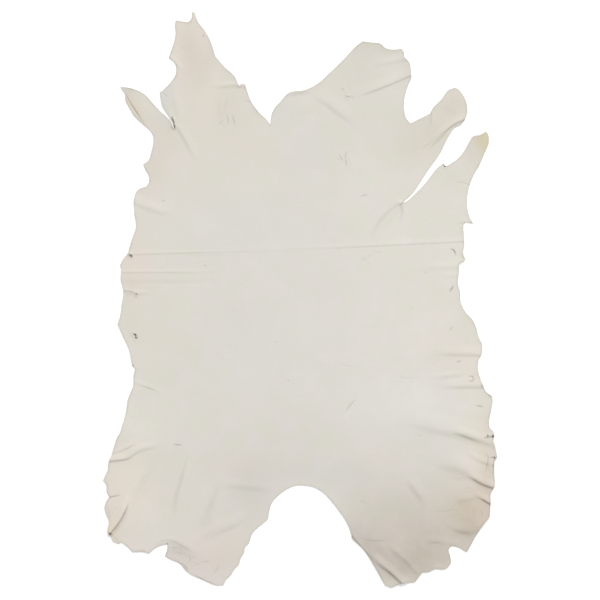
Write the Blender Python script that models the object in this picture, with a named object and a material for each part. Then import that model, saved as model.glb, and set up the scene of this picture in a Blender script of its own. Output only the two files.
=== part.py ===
# A whole leather hide lying flat with its grain side up: one thin sheet with its outline and its folds.
# Metres, +Z up. X runs across the hide and Y along its back, from the hind feet to the neck.
# The tables count in squares of a cutting grid that has its zero in the middle of the hide.

import math

import bmesh
import bpy
import numpy as np
from mathutils import geometry

SQUARE = 0.025
THICKNESS = 0.0014
MM = 0.001

# How closely the surface is divided
RIM_STEP = 0.015
CREST_STEP = 0.019
FLAT_STEP = 0.06
CLOSEST_TO_RIM = 0.005
SMALLEST_GAP = 0.0024
RING_DEPTH = 0.014
RING_STEP = 0.024
POINTS_MEET = 1e-7

# The cut edge stands up a little, more at some places than at others
RIM_RISE = 0.0024
RIM_WIDTH = 0.022
RIM_WAVE_ACROSS = 0.19
RIM_WAVE_ALONG = 0.23

# Rows of points beside a crest, as parts of the fold's width: a narrow fold has fewer
WIDE_FOLD_ROWS = (-1.0, -0.62, -0.3, 0.0, 0.3, 0.62, 1.0)
NARROW_FOLD_ROWS = (-1.0, -0.5, 0.0, 0.5, 1.0)
NARROW_FOLD = 12.0
FADE_PART = 0.45

GRAIN_COLOUR = (0.70, 0.665, 0.605, 1.0)
GRAIN_ROUGHNESS = 0.62

ROUND = 0
CORNER = 1

# The outline goes round the hide with the neck at the top: across, along, and whether there is a corner.
# It starts at the tear between the left fore leg and the left cheek.
LEFT_CHEEK_OUTSIDE = (
    (-12.56, 17.00, CORNER),
    (-12.63, 17.48, ROUND),
    (-13.80, 19.55, ROUND),
    (-14.02, 20.80, CORNER),
    (-13.78, 20.88, CORNER),
    (-12.90, 21.80, ROUND),
    (-12.44, 22.50, ROUND),
    (-12.52, 23.78, ROUND),
    (-13.10, 24.22, CORNER),
    (-12.42, 26.80, ROUND),
    (-12.48, 27.60, ROUND),
)
LEFT_CHEEK_END = (
    (-12.42, 27.95, CORNER),
    (-11.60, 27.82, ROUND),
    (-11.20, 27.76, ROUND),
    (-10.86, 28.08, ROUND),
    (-10.78, 28.77, CORNER),
)
LEFT_CHEEK_INSIDE = (
    (-10.55, 28.77, CORNER),
    (-10.25, 27.90, ROUND),
    (-9.38, 26.70, ROUND),
    (-8.92, 25.80, ROUND),
    (-8.48, 24.38, CORNER),
    (-7.50, 23.25, ROUND),
    (-6.50, 22.30, ROUND),
    (-6.18, 21.57, ROUND),
    (-6.04, 21.36, CORNER),
    (-5.95, 21.53, ROUND),
    (-5.48, 21.57, CORNER),
    (-4.88, 19.85, ROUND),
    (-4.00, 18.65, ROUND),
    (-3.20, 17.87, ROUND),
)
RIGHT_CHEEK_INSIDE = (
    (-2.94, 17.45, CORNER),
    (-2.89, 18.30, ROUND),
    (-2.66, 19.00, ROUND),
    (-1.90, 19.90, ROUND),
    (-1.25, 20.62, ROUND),
    (0.55, 21.00, ROUND),
    (1.55, 21.48, ROUND),
    (2.90, 22.64, ROUND),
    (4.20, 23.88, ROUND),
    (5.90, 25.60, ROUND),
)
RIGHT_CHEEK_END = (
    (6.28, 25.86, CORNER),
    (7.10, 25.74, ROUND),
    (8.00, 25.64, ROUND),
    (8.54, 25.18, ROUND),
    (9.40, 25.02, ROUND),
    (10.13, 25.11, CORNER),
    (10.40, 24.70, ROUND),
    (10.38, 24.30, CORNER),
    (10.85, 23.85, ROUND),
    (11.15, 22.15, CORNER),
)
RIGHT_BAY = (
    (10.83, 21.50, ROUND),
    (10.40, 19.20, ROUND),
    (10.58, 18.25, ROUND),
    (11.02, 17.65, CORNER),
)
RIGHT_FINGER = (
    (13.00, 18.62, CORNER),
    (13.32, 19.22, ROUND),
    (14.10, 20.00, ROUND),
    (14.90, 21.02, ROUND),
    (15.45, 21.20, ROUND),
    (16.50, 20.10, ROUND),
    (16.60, 18.30, ROUND),
    (16.38, 17.92, CORNER),
    (16.08, 17.50, CORNER),
    (15.50, 17.26, ROUND),
)
FORE_LEG_SLIT_UPPER = (
    (15.08, 16.70, ROUND),
    (13.80, 14.35, ROUND),
    (13.05, 13.32, ROUND),
    (12.10, 11.90, ROUND),
    (11.40, 10.85, ROUND),
)
FORE_LEG_SLIT_LOWER = (
    (10.05, 9.58, CORNER),
    (10.70, 9.88, ROUND),
    (11.60, 10.70, ROUND),
    (12.50, 11.63, ROUND),
    (13.90, 13.34, ROUND),
    (14.33, 13.66, CORNER),
    (14.60, 13.36, CORNER),
    (15.50, 13.90, ROUND),
    (16.30, 14.73, ROUND),
    (16.92, 15.80, ROUND),
    (17.30, 16.36, ROUND),
    (18.00, 16.50, ROUND),
)
RIGHT_FORE_LEG = (
    (18.62, 16.87, CORNER),
    (18.85, 16.40, ROUND),
    (18.86, 15.70, ROUND),
    (18.50, 14.80, ROUND),
    (17.93, 13.48, ROUND),
    (17.35, 12.47, ROUND),
    (16.70, 10.00, ROUND),
    (17.05, 8.05, ROUND),
    (17.32, 7.65, CORNER),
    (16.45, 7.73, ROUND),
)
RIGHT_FLANK = (
    (16.32, 7.40, CORNER),
    (16.40, 5.60, ROUND),
    (16.36, 4.40, ROUND),
    (16.56, 4.04, CORNER),
    (15.98, 3.70, ROUND),
    (15.88, 2.80, ROUND),
    (15.78, 1.60, ROUND),
    (16.00, 0.75, ROUND),
    (16.05, -0.20, ROUND),
    (16.50, -1.15, ROUND),
    (17.28, -2.05, ROUND),
    (17.62, -2.75, ROUND),
    (17.80, -3.55, ROUND),
    (18.22, -4.42, CORNER),
    (18.12, -5.50, ROUND),
    (17.82, -6.00, CORNER),
    (17.78, -6.90, ROUND),
    (18.28, -8.50, ROUND),
    (18.55, -9.12, ROUND),
    (19.15, -9.58, CORNER),
)
RIGHT_HIND_LEG = (
    (19.27, -10.05, CORNER),
    (19.10, -11.00, ROUND),
    (18.88, -12.10, ROUND),
    (18.92, -12.78, CORNER),
    (19.35, -13.25, ROUND),
    (19.42, -13.65, CORNER),
    (19.25, -13.95, CORNER),
    (19.52, -14.80, ROUND),
    (19.70, -15.75, CORNER),
    (19.42, -16.10, CORNER),
    (19.40, -17.30, ROUND),
    (19.38, -18.70, ROUND),
    (19.07, -19.35, ROUND),
    (19.03, -20.40, ROUND),
)
RIGHT_HIND_FOOT = (
    (18.92, -21.68, CORNER),
    (18.20, -22.60, ROUND),
    (16.68, -25.20, CORNER),
    (15.60, -24.65, ROUND),
    (15.12, -24.60, ROUND),
    (14.88, -24.88, ROUND),
    (15.00, -25.60, ROUND),
    (15.08, -26.30, ROUND),
    (14.60, -26.84, ROUND),
    (13.40, -26.90, ROUND),
    (12.90, -27.16, ROUND),
    (12.26, -27.20, CORNER),
    (11.50, -28.20, CORNER),
    (10.30, -28.28, ROUND),
    (9.10, -28.72, CORNER),
    (8.50, -28.46, CORNER),
)
ARCH_RIGHT_SIDE = (
    (7.00, -25.85, ROUND),
    (6.50, -25.10, ROUND),
    (5.20, -23.85, CORNER),
    (5.03, -23.05, ROUND),
    (3.90, -21.02, ROUND),
    (1.40, -18.70, ROUND),
)
ARCH_LEFT_SIDE = (
    (-0.30, -18.52, ROUND),
    (-2.10, -19.50, ROUND),
    (-2.75, -20.18, ROUND),
    (-3.23, -21.95, CORNER),
    (-4.80, -23.40, ROUND),
    (-5.18, -24.38, ROUND),
    (-5.50, -24.72, ROUND),
    (-5.57, -25.25, CORNER),
    (-5.97, -25.90, ROUND),
    (-6.10, -26.42, ROUND),
    (-6.50, -26.82, CORNER),
    (-6.85, -27.42, ROUND),
    (-7.45, -28.05, ROUND),
)
LEFT_HIND_FOOT = (
    (-7.62, -28.48, CORNER),
    (-8.40, -28.50, ROUND),
    (-9.55, -28.04, ROUND),
    (-11.42, -27.03, ROUND),
    (-11.95, -26.37, ROUND),
    (-12.90, -25.95, ROUND),
    (-13.50, -25.60, CORNER),
    (-13.25, -24.90, ROUND),
    (-13.22, -24.40, CORNER),
    (-13.95, -24.53, ROUND),
    (-14.65, -24.93, ROUND),
    (-15.08, -25.34, CORNER),
    (-15.45, -25.20, ROUND),
    (-16.75, -25.18, CORNER),
    (-17.15, -24.75, ROUND),
    (-17.85, -24.22, CORNER),
    (-18.15, -24.40, CORNER),
    (-18.70, -24.12, ROUND),
    (-18.93, -23.43, CORNER),
)
LEFT_HIND_LEG = (
    (-19.03, -23.60, CORNER),
    (-19.17, -23.10, ROUND),
    (-19.09, -22.10, ROUND),
    (-19.38, -21.45, ROUND),
    (-19.53, -20.75, ROUND),
    (-19.36, -20.12, ROUND),
    (-19.04, -19.70, CORNER),
    (-19.30, -19.20, ROUND),
    (-19.36, -18.40, ROUND),
    (-19.68, -18.06, CORNER),
    (-19.40, -17.40, ROUND),
    (-19.18, -16.90, ROUND),
    (-19.16, -16.30, ROUND),
    (-18.85, -15.60, ROUND),
    (-18.24, -13.70, ROUND),
    (-17.95, -13.20, CORNER),
    (-17.30, -10.80, ROUND),
    (-17.22, -10.10, ROUND),
    (-16.62, -8.30, ROUND),
    (-16.62, -7.50, ROUND),
)
LEFT_FLANK_LOWER = (
    (-16.46, -6.85, CORNER),
    (-16.76, -6.60, CORNER),
    (-17.20, -4.65, ROUND),
    (-17.50, -4.05, ROUND),
    (-18.24, -2.43, CORNER),
    (-17.98, -1.60, ROUND),
    (-17.80, -0.35, ROUND),
    (-17.63, 0.80, ROUND),
    (-17.93, 2.20, ROUND),
    (-17.87, 3.00, ROUND),
)
LEFT_FLANK_UPPER = (
    (-17.97, 3.48, CORNER),
    (-17.70, 4.07, ROUND),
    (-17.25, 4.60, ROUND),
    (-17.00, 5.40, ROUND),
    (-16.72, 6.30, ROUND),
    (-16.42, 7.10, ROUND),
    (-16.57, 9.10, ROUND),
    (-16.56, 10.10, ROUND),
    (-16.38, 10.80, ROUND),
    (-15.90, 11.18, ROUND),
    (-15.38, 11.34, CORNER),
    (-15.07, 11.85, ROUND),
    (-15.12, 12.45, ROUND),
    (-15.45, 13.05, ROUND),
)
LEFT_SHOULDER = (
    (-15.66, 13.57, CORNER),
    (-15.15, 13.95, ROUND),
    (-14.86, 14.75, ROUND),
    (-14.72, 16.60, ROUND),
)
LEFT_FORE_LEG = (
    (-15.75, 17.64, ROUND),
    (-16.45, 18.28, ROUND),
    (-17.10, 19.30, ROUND),
    (-17.47, 20.20, ROUND),
    (-17.45, 20.60, CORNER),
    (-17.97, 21.30, CORNER),
    (-17.50, 21.27, ROUND),
    (-15.50, 20.53, ROUND),
    (-14.70, 19.65, ROUND),
    (-13.90, 18.80, ROUND),
    (-13.00, 17.92, ROUND),
)
OUTLINE = (
    LEFT_CHEEK_OUTSIDE
    + LEFT_CHEEK_END
    + LEFT_CHEEK_INSIDE
    + RIGHT_CHEEK_INSIDE
    + RIGHT_CHEEK_END
    + RIGHT_BAY
    + RIGHT_FINGER
    + FORE_LEG_SLIT_UPPER
    + FORE_LEG_SLIT_LOWER
    + RIGHT_FORE_LEG
    + RIGHT_FLANK
    + RIGHT_HIND_LEG
    + RIGHT_HIND_FOOT
    + ARCH_RIGHT_SIDE
    + ARCH_LEFT_SIDE
    + LEFT_HIND_FOOT
    + LEFT_HIND_LEG
    + LEFT_FLANK_LOWER
    + LEFT_FLANK_UPPER
    + LEFT_SHOULDER
    + LEFT_FORE_LEG
)

NO_END = (0, 0)
FIRST_END = (1, 0)
LAST_END = (0, 1)
BOTH_ENDS = (1, 1)

# Each fold is a raised crest: its path in squares, height in mm, width in mm on the left and on the right
# of the path, and the ends at which it fades into the flat hide.
FOLDS = (
    # storage creases across the back
    (((-17.9, 4.54), (-12, 4.74), (-5.8, 4.92), (0.9, 5.17), (4.5, 5.32), (10, 5.59), (17, 5.92)),
     1.6, 14.0, 7.5, NO_END),
    (((-18, 2.78), (-11.2, 2.81), (-6.8, 2.9)),
     1.6, 9.0, 7.5, LAST_END),
    # left flank
    (((-17, 10), (-15.5, 9.4), (-14.1, 8.9), (-12.4, 8.7)),
     2.0, 26.0, 11.0, LAST_END),
    (((-18.1, 1), (-16.4, 0.7), (-14.6, 0.75)),
     1.8, 9.0, 7.5, LAST_END),
    (((-17.1, -8.05), (-15.5, -8.6), (-14.2, -9.1), (-13.2, -9.4)),
     1.6, 14.0, 7.5, LAST_END),
    # left hind leg
    (((-19.7, -16.05), (-18.2, -15.95), (-17.2, -15.75), (-16.5, -15.2),
      (-15.5, -14.8), (-14.5, -14.55), (-13.4, -13.7)),
     3.4, 20.0, 7.5, LAST_END),
    (((-19, -15.35), (-17.8, -14.95), (-16, -14.1)),
     1.7, 9.0, 7.5, LAST_END),
    (((-17.7, -19.3), (-17.25, -20), (-17.5, -21.15), (-18.15, -22.3), (-19.2, -23.6)),
     6.0, 9.0, 24.0, FIRST_END),
    (((-10.9, -15.2), (-11.6, -17.3), (-12.2, -19.1), (-12.55, -20.6), (-12.9, -22)),
     3.4, 24.0, 9.0, BOTH_ENDS),
    (((-4.6, -20.9), (-6.8, -22.47), (-8.1, -23.04), (-10.1, -24.7)),
     3.2, 11.0, 27.0, BOTH_ENDS),
    (((-14, -24.2), (-13, -24), (-11.9, -24.4), (-10.8, -25.1), (-11.2, -26.4)),
     1.6, 14.0, 8.0, LAST_END),
    # left cheek and neck
    (((-12.9, 17.9), (-12.2, 17.1), (-11.6, 16.1), (-10.7, 14.5), (-10.2, 13.6)),
     1.7, 26.0, 7.5, LAST_END),
    (((-8.9, 21.25), (-7.8, 21.38), (-6.5, 21.48), (-5.4, 21.34)),
     2.4, 12.0, 7.5, FIRST_END),
    (((-13.1, 24.45), (-12.4, 23.65), (-11.6, 22.8)),
     1.8, 9.0, 7.5, LAST_END),
    (((-1.7, 20.45), (-0.2, 20.75), (1.4, 21)),
     2.2, 10.0, 7.5, BOTH_ENDS),
    # right cheek
    (((4.7, 20.05), (6.7, 20.7), (8.6, 21.43), (10.2, 22.1), (11.9, 22.85)),
     2.2, 26.0, 7.5, FIRST_END),
    (((7, 23.35), (8.6, 23.75), (10.3, 24.1), (11.3, 24.3)),
     1.6, 16.0, 9.0, FIRST_END),
    (((0.8, 20.9), (2.9, 19.6), (4.3, 18.5), (6, 17.3)),
     1.7, 34.0, 12.0, BOTH_ENDS),
    # right fore leg and its slit
    (((12.7, 15.4), (13.95, 16.35), (15.15, 17.43), (16.4, 18.05), (17, 18.35)),
     3.0, 16.0, 7.5, FIRST_END),
    (((13.07, 19.3), (13.07, 18.4), (13.03, 17.3)),
     1.8, 9.0, 7.5, BOTH_ENDS),
    (((10, 9.6), (9.2, 8.8), (8, 7.5), (6.8, 5.8)),
     1.8, 16.0, 11.0, LAST_END),
    (((10.05, 9.65), (10.25, 9), (10.1, 7.8)),
     2.2, 9.0, 7.5, LAST_END),
    # right flank
    (((13, -5.26), (15.1, -5.32), (16.6, -5.34), (18.6, -5.44)),
     1.7, 28.0, 9.0, FIRST_END),
    (((12.7, -7.76), (14.3, -7.62), (15.5, -7.46), (16.8, -7.32)),
     1.9, 14.0, 7.5, BOTH_ENDS),
    (((13.4, -8.66), (15.5, -8.6), (16.6, -8.54), (18.8, -8.56)),
     1.8, 26.0, 10.0, FIRST_END),
    # right hind leg
    (((9.6, -11.8), (11.8, -12.36), (14, -12.86), (15.9, -13.26), (17.4, -13.7), (20, -14.4)),
     3.4, 44.0, 20.0, FIRST_END),
    (((14.6, -12.9), (15.8, -13.2), (16.8, -13.5), (17.8, -13.86), (19.2, -14.1)),
     3.4, 20.0, 9.0, BOTH_ENDS),
    (((13, -16.2), (15.4, -16.54), (16.6, -16.96), (17.8, -17.7), (19.8, -18.8)),
     3.8, 42.0, 20.0, FIRST_END),
    (((16.3, -17.2), (17.3, -17.74), (18.1, -18.26), (19.7, -18.74)),
     3.6, 18.0, 8.0, FIRST_END),
    (((17.2, -19.26), (18, -19.64), (18.9, -20.22), (19.6, -20.64)),
     3.8, 16.0, 8.0, FIRST_END),
    (((16.4, -15), (17.4, -15.65), (18.2, -16.1), (19.4, -16.4)),
     1.9, 12.0, 7.5, FIRST_END),
    (((14.3, -22.1), (15.2, -22.6), (16.1, -22.96), (17.3, -23), (18.2, -22.44), (19.3, -21.46)),
     3.4, 24.0, 14.0, FIRST_END),
    (((12.2, -24), (13.6, -24.1), (15.5, -24.28)),
     1.6, 16.0, 9.0, FIRST_END),
    (((6.6, -24.9), (8, -26.25), (9.16, -27.2), (10.5, -28.5)),
     7.0, 18.0, 8.5, FIRST_END),
    (((8.4, -24), (9.6, -25.1), (10.7, -26.14), (11.6, -27.1)),
     1.9, 14.0, 9.0, FIRST_END),
    (((4.8, -23.5), (6.1, -24.9), (7.7, -27.1)),
     3.2, 9.0, 8.0, BOTH_ENDS),
)


def clear_scene():
    for item in list(bpy.data.objects):
        bpy.data.objects.remove(item, do_unlink=True)


def smooth_span(before, start, end, after, parts):
    """Points from start up to end on a curve that also heeds the neighbours before and after."""
    first, middle, last = start - before, end - start, after - end
    first_length = max(np.linalg.norm(first), 1e-9)
    length = np.linalg.norm(middle)
    last_length = max(np.linalg.norm(last), 1e-9)
    leave = first / first_length * length + middle / length * first_length
    leave *= length / (first_length + length)
    arrive = (middle / length * last_length + last / last_length * length) / (last_length + length) * length
    points = []
    for part in range(parts):
        t = part / parts
        points.append(
            (2 * t**3 - 3 * t**2 + 1) * start
            + (t**3 - 2 * t**2 + t) * leave
            + (3 * t**2 - 2 * t**3) * end
            + (t**3 - t**2) * arrive
        )
    return points


def outline_rim():
    """The closed edge of the hide in metres, with its bounding box centred on zero."""
    count = len(OUTLINE)
    places = np.array([row[:2] for row in OUTLINE]) * SQUARE
    corners = [row[2] == CORNER for row in OUTLINE]
    rim = []
    for i in range(count):
        start, end = places[i], places[(i + 1) % count]
        before = 2 * start - end if corners[i] else places[i - 1]
        after = 2 * end - start if corners[(i + 1) % count] else places[(i + 2) % count]
        parts = max(1, round(np.linalg.norm(end - start) / RIM_STEP))
        rim.extend(smooth_span(before, start, end, after, parts))
    rim = np.array(rim)
    middle = (rim.min(axis=0) + rim.max(axis=0)) / 2
    return rim - middle, middle


def near_path(points, path):
    """For each point: how far along the path it is and how far to its left, and the path's length."""
    nearest = np.full(len(points), np.inf)
    along = np.zeros(len(points))
    aside = np.zeros(len(points))
    walked = 0.0
    for start, end in zip(path[:-1], path[1:]):
        step = end - start
        length = np.linalg.norm(step)
        way = step / length
        offset = points - start
        run = np.clip(offset @ way, 0, length)
        away = offset - run[:, None] * way
        distance = np.linalg.norm(away, axis=1)
        side = np.where(way[0] * offset[:, 1] - way[1] * offset[:, 0] >= 0, 1.0, -1.0)
        closer = distance < nearest
        nearest = np.where(closer, distance, nearest)
        along = np.where(closer, walked + run, along)
        aside = np.where(closer, side * distance, aside)
        walked += length
    return along, aside, walked


def smooth_rise(value):
    value = np.clip(value, 0, 1)
    return value * value * (3 - 2 * value)


def smooth_path(path, middle):
    """A fold's crest as a smooth row of points in metres."""
    places = np.array(path) * SQUARE - middle
    points = []
    for i in range(len(places) - 1):
        start, end = places[i], places[i + 1]
        before = places[i - 1] if i > 0 else 2 * start - end
        after = places[i + 2] if i + 2 < len(places) else 2 * end - start
        parts = max(1, round(np.linalg.norm(end - start) / CREST_STEP))
        points.extend(smooth_span(before, start, end, after, parts))
    points.append(places[-1])
    return np.array(points)


def surface_height(points, crests, rim):
    """How high the underside stands above the ground at each point."""
    height = np.zeros(len(points))
    for crest, (_, rise, left, right, ends) in zip(crests, FOLDS):
        along, aside, length = near_path(points, crest)
        width = np.where(aside > 0, left, right) * MM
        shape = 0.5 + 0.5 * np.cos(np.pi * np.clip(np.abs(aside) / width, 0, 1))
        fade = FADE_PART * length
        if ends[0]:
            shape = shape * smooth_rise(along / fade)
        if ends[1]:
            shape = shape * smooth_rise((length - along) / fade)
        height += rise * MM * shape
    depth = np.abs(near_path(points, np.vstack((rim, rim[:1])))[1])
    wave = np.sin(points[:, 0] * math.tau / RIM_WAVE_ACROSS)
    wave *= np.sin(points[:, 1] * math.tau / RIM_WAVE_ALONG)
    lift = RIM_RISE * (0.5 + 0.5 * wave) * np.clip(1 - depth / RIM_WIDTH, 0, 1) ** 2
    return height + lift


def inside_rim(points, rim):
    """Which points lie inside the closed rim."""
    inside = np.zeros(len(points), bool)
    for (ax, ay), (bx, by) in zip(rim, np.roll(rim, -1, axis=0)):
        if ay == by:
            continue
        crosses = (points[:, 1] > ay) != (points[:, 1] > by)
        at = ax + (points[:, 1] - ay) * (bx - ax) / (by - ay)
        inside ^= crosses & (points[:, 0] < at)
    return inside


def beside_crest(crest, left, right):
    """Rows of points along a crest, out to the fold's width on each side."""
    way = np.gradient(crest, axis=0)
    way /= np.linalg.norm(way, axis=1)[:, None]
    square_off = np.column_stack((-way[:, 1], way[:, 0]))
    rows = []
    parts = NARROW_FOLD_ROWS if max(left, right) < NARROW_FOLD else WIDE_FOLD_ROWS
    for part in sorted(parts, key=abs):
        width = (left if part > 0 else right) * MM
        rows.append(crest + square_off * part * width)
    return np.vstack(rows)


def inner_ring(rim):
    """A row of points a short way in from the rim."""
    closed = np.vstack((rim, rim[:1]))
    steps = np.linalg.norm(np.diff(closed, axis=0), axis=1)
    walked = np.concatenate(([0], np.cumsum(steps)))
    places = np.linspace(0, walked[-1], round(walked[-1] / RING_STEP), endpoint=False)
    points = np.column_stack([np.interp(places, walked, closed[:, axis]) for axis in (0, 1)])
    way = np.roll(points, -1, axis=0) - np.roll(points, 1, axis=0)
    way /= np.linalg.norm(way, axis=1)[:, None]
    return points + np.column_stack((way[:, 1], -way[:, 0])) * RING_DEPTH


def flat_grid(rim):
    """Points in staggered rows over the whole hide."""
    low, high = rim.min(axis=0), rim.max(axis=0)
    row_step = FLAT_STEP * math.sqrt(3) / 2
    points = []
    for row, y in enumerate(np.arange(low[1], high[1], row_step)):
        start = low[0] + (FLAT_STEP / 2 if row % 2 else 0)
        points.extend((x, y) for x in np.arange(start, high[0], FLAT_STEP))
    return np.array(points)


def spread_points(rim, crests):
    """The points inside the rim, closer together at the folds than where the hide is flat."""
    groups = [(beside_crest(crest, fold[2], fold[3]), SMALLEST_GAP) for crest, fold in zip(crests, FOLDS)]
    groups.append((inner_ring(rim), RING_STEP / 2))
    groups.append((flat_grid(rim), FLAT_STEP / 2))
    closed = np.vstack((rim, rim[:1]))
    kept = np.empty((0, 2))
    for points, gap in groups:
        points = points[inside_rim(points, rim)]
        depth = np.abs(near_path(points, closed)[1])
        for point in points[depth > CLOSEST_TO_RIM]:
            if len(kept) == 0 or np.min(np.linalg.norm(kept - point, axis=1)) > gap:
                kept = np.vstack((kept, point))
    return kept


def build_hide():
    rim, middle = outline_rim()
    crests = [smooth_path(fold[0], middle) for fold in FOLDS]
    flat = np.vstack((rim, spread_points(rim, crests)))
    edges = [(i, (i + 1) % len(rim)) for i in range(len(rim))]
    places, _, triangles, _, _, _ = geometry.delaunay_2d_cdt(flat.tolist(), edges, [], 1, POINTS_MEET)
    flat = np.array([tuple(place) for place in places])
    height = surface_height(flat, crests, rim)

    work = bmesh.new()
    points = [work.verts.new((x, y, z)) for (x, y), z in zip(flat, height)]
    for a, b, c in triangles:
        work.faces.new((points[a], points[b], points[c]))
    work.normal_update()
    for face in work.faces:
        face.smooth = True
        if face.normal.z < 0:
            face.normal_flip()
    mesh = bpy.data.meshes.new("hide")
    work.to_mesh(mesh)
    work.free()

    hide = bpy.data.objects.new("hide", mesh)
    bpy.context.scene.collection.objects.link(hide)
    thick = hide.modifiers.new("leather thickness", "SOLIDIFY")
    thick.thickness = THICKNESS
    thick.offset = 1.0
    return hide


def grain_leather():
    material = bpy.data.materials.new("grain_leather")
    material.use_nodes = True
    shader = material.node_tree.nodes["Principled BSDF"]
    shader.inputs["Base Color"].default_value = GRAIN_COLOUR
    shader.inputs["Roughness"].default_value = GRAIN_ROUGHNESS
    material.diffuse_color = GRAIN_COLOUR
    return material


clear_scene()
hide = build_hide()
hide.data.materials.append(grain_leather())
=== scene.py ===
# A whole leather hide lying flat with its grain side up: its outline, folds, storage creases and stains.
# Metres, +Z up. X runs across the hide, Y along its back. Tables count in 25 mm squares from near its middle.
import math
import bmesh
import bpy
import numpy as np
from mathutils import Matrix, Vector, noise


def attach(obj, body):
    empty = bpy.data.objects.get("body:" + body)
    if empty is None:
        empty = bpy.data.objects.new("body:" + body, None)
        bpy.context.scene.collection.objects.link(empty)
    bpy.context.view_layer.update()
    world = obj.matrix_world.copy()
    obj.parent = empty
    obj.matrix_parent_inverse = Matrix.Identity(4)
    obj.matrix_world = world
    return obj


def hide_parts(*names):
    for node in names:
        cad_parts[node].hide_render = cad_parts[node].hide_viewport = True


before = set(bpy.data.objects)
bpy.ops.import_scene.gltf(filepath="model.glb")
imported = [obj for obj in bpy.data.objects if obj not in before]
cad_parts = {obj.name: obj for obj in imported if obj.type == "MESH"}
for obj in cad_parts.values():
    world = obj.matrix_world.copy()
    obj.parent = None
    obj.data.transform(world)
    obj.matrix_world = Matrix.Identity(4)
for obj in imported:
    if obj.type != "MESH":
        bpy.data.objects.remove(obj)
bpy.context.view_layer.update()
square = 0.025
mm = 0.001
corner = True

hide = {
    "thickness": 1.4 * mm,
    "flatSize": (0.992, 1.449),  # before it was folded and creased
    "flatArea": 1.035,
    "ragged": 0.35 * mm,  # how far the knife wandered
    "raggedLength": 9.0 * mm,
    "fadePart": 0.45,  # how much of a fold's length it takes to fade out
    "edgeTint": 5.5 * mm,  # how far in from the edge the soiling and painted shade reach
    "edgeSoilAndShadeLength": 24.0 * mm,
    "edgeSoilAndShadeSwing": 1.2,
}

# How closely the sheet is divided
fineness = {
    "rimStep": 3.2 * mm,  # spacing of the points along the cut edge
    "cutStep": 8.0 * mm,  # spacing of the straight cuts across the flat sheet
    "shortest": 0.9 * mm,  # cuts that nearly meet are joined
    "foldStep": 12.0 * mm,  # spacing of the points along a fold's path
    "creaseStep": 5.0 * mm,
    "longest": (0.62, 0.31),  # edges longer than this share of a cut are halved, first and second round
    "foldReach": 1.1,  # finer mesh out to this many fold widths
    "edgeBand": 9.0 * mm,
    "creaseBand": 5.0 * mm,
    "markBand": (12.8 * mm, 8.0 * mm),  # first and second round
    "sharpFold": 4.0,  # folds steeper than this width, in mm, get the closest mesh
    "broadCrease": 5.0,  # creases wider than this, in mm, need no closest mesh
}

# The cut edge curls up in waves along it, and the whole sheet sways a little off the ground
curl = {"width": 20.0 * mm, "waveLength": 70.0 * mm, "middle": 0.5, "swing": 0.9, "least": 0.25, "blend": 12}
sway = {"length": 0.21, "height": 1.5 * mm, "middle": 0.55, "smallLength": 0.06, "smallHeight": 0.25 * mm}
# What a pin leaves, in half widths of its spot: a ring and short wrinkles round it, a hollow and a dark spot,
# which is painted shade where the pin hole looks dark and fainter for a small mark
pinned = {
    "ring": 1.7, "ringWidth": 0.8, "wrinkles": 2.2, "wrinkleWidth": 1.3, "wrinkleShare": 0.5,
    "hollow": 0.8 * mm, "uneven": 0.25, "spot": 1.4, "spotEdge": 0.7,
}
# Each starts its own run of gentle waves
seeds = {"sway": 2.0, "ragged": 3.0, "curl": 5.0, "smallSway": 8.0, "edgeSoilAndShade": 9.0}

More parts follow.
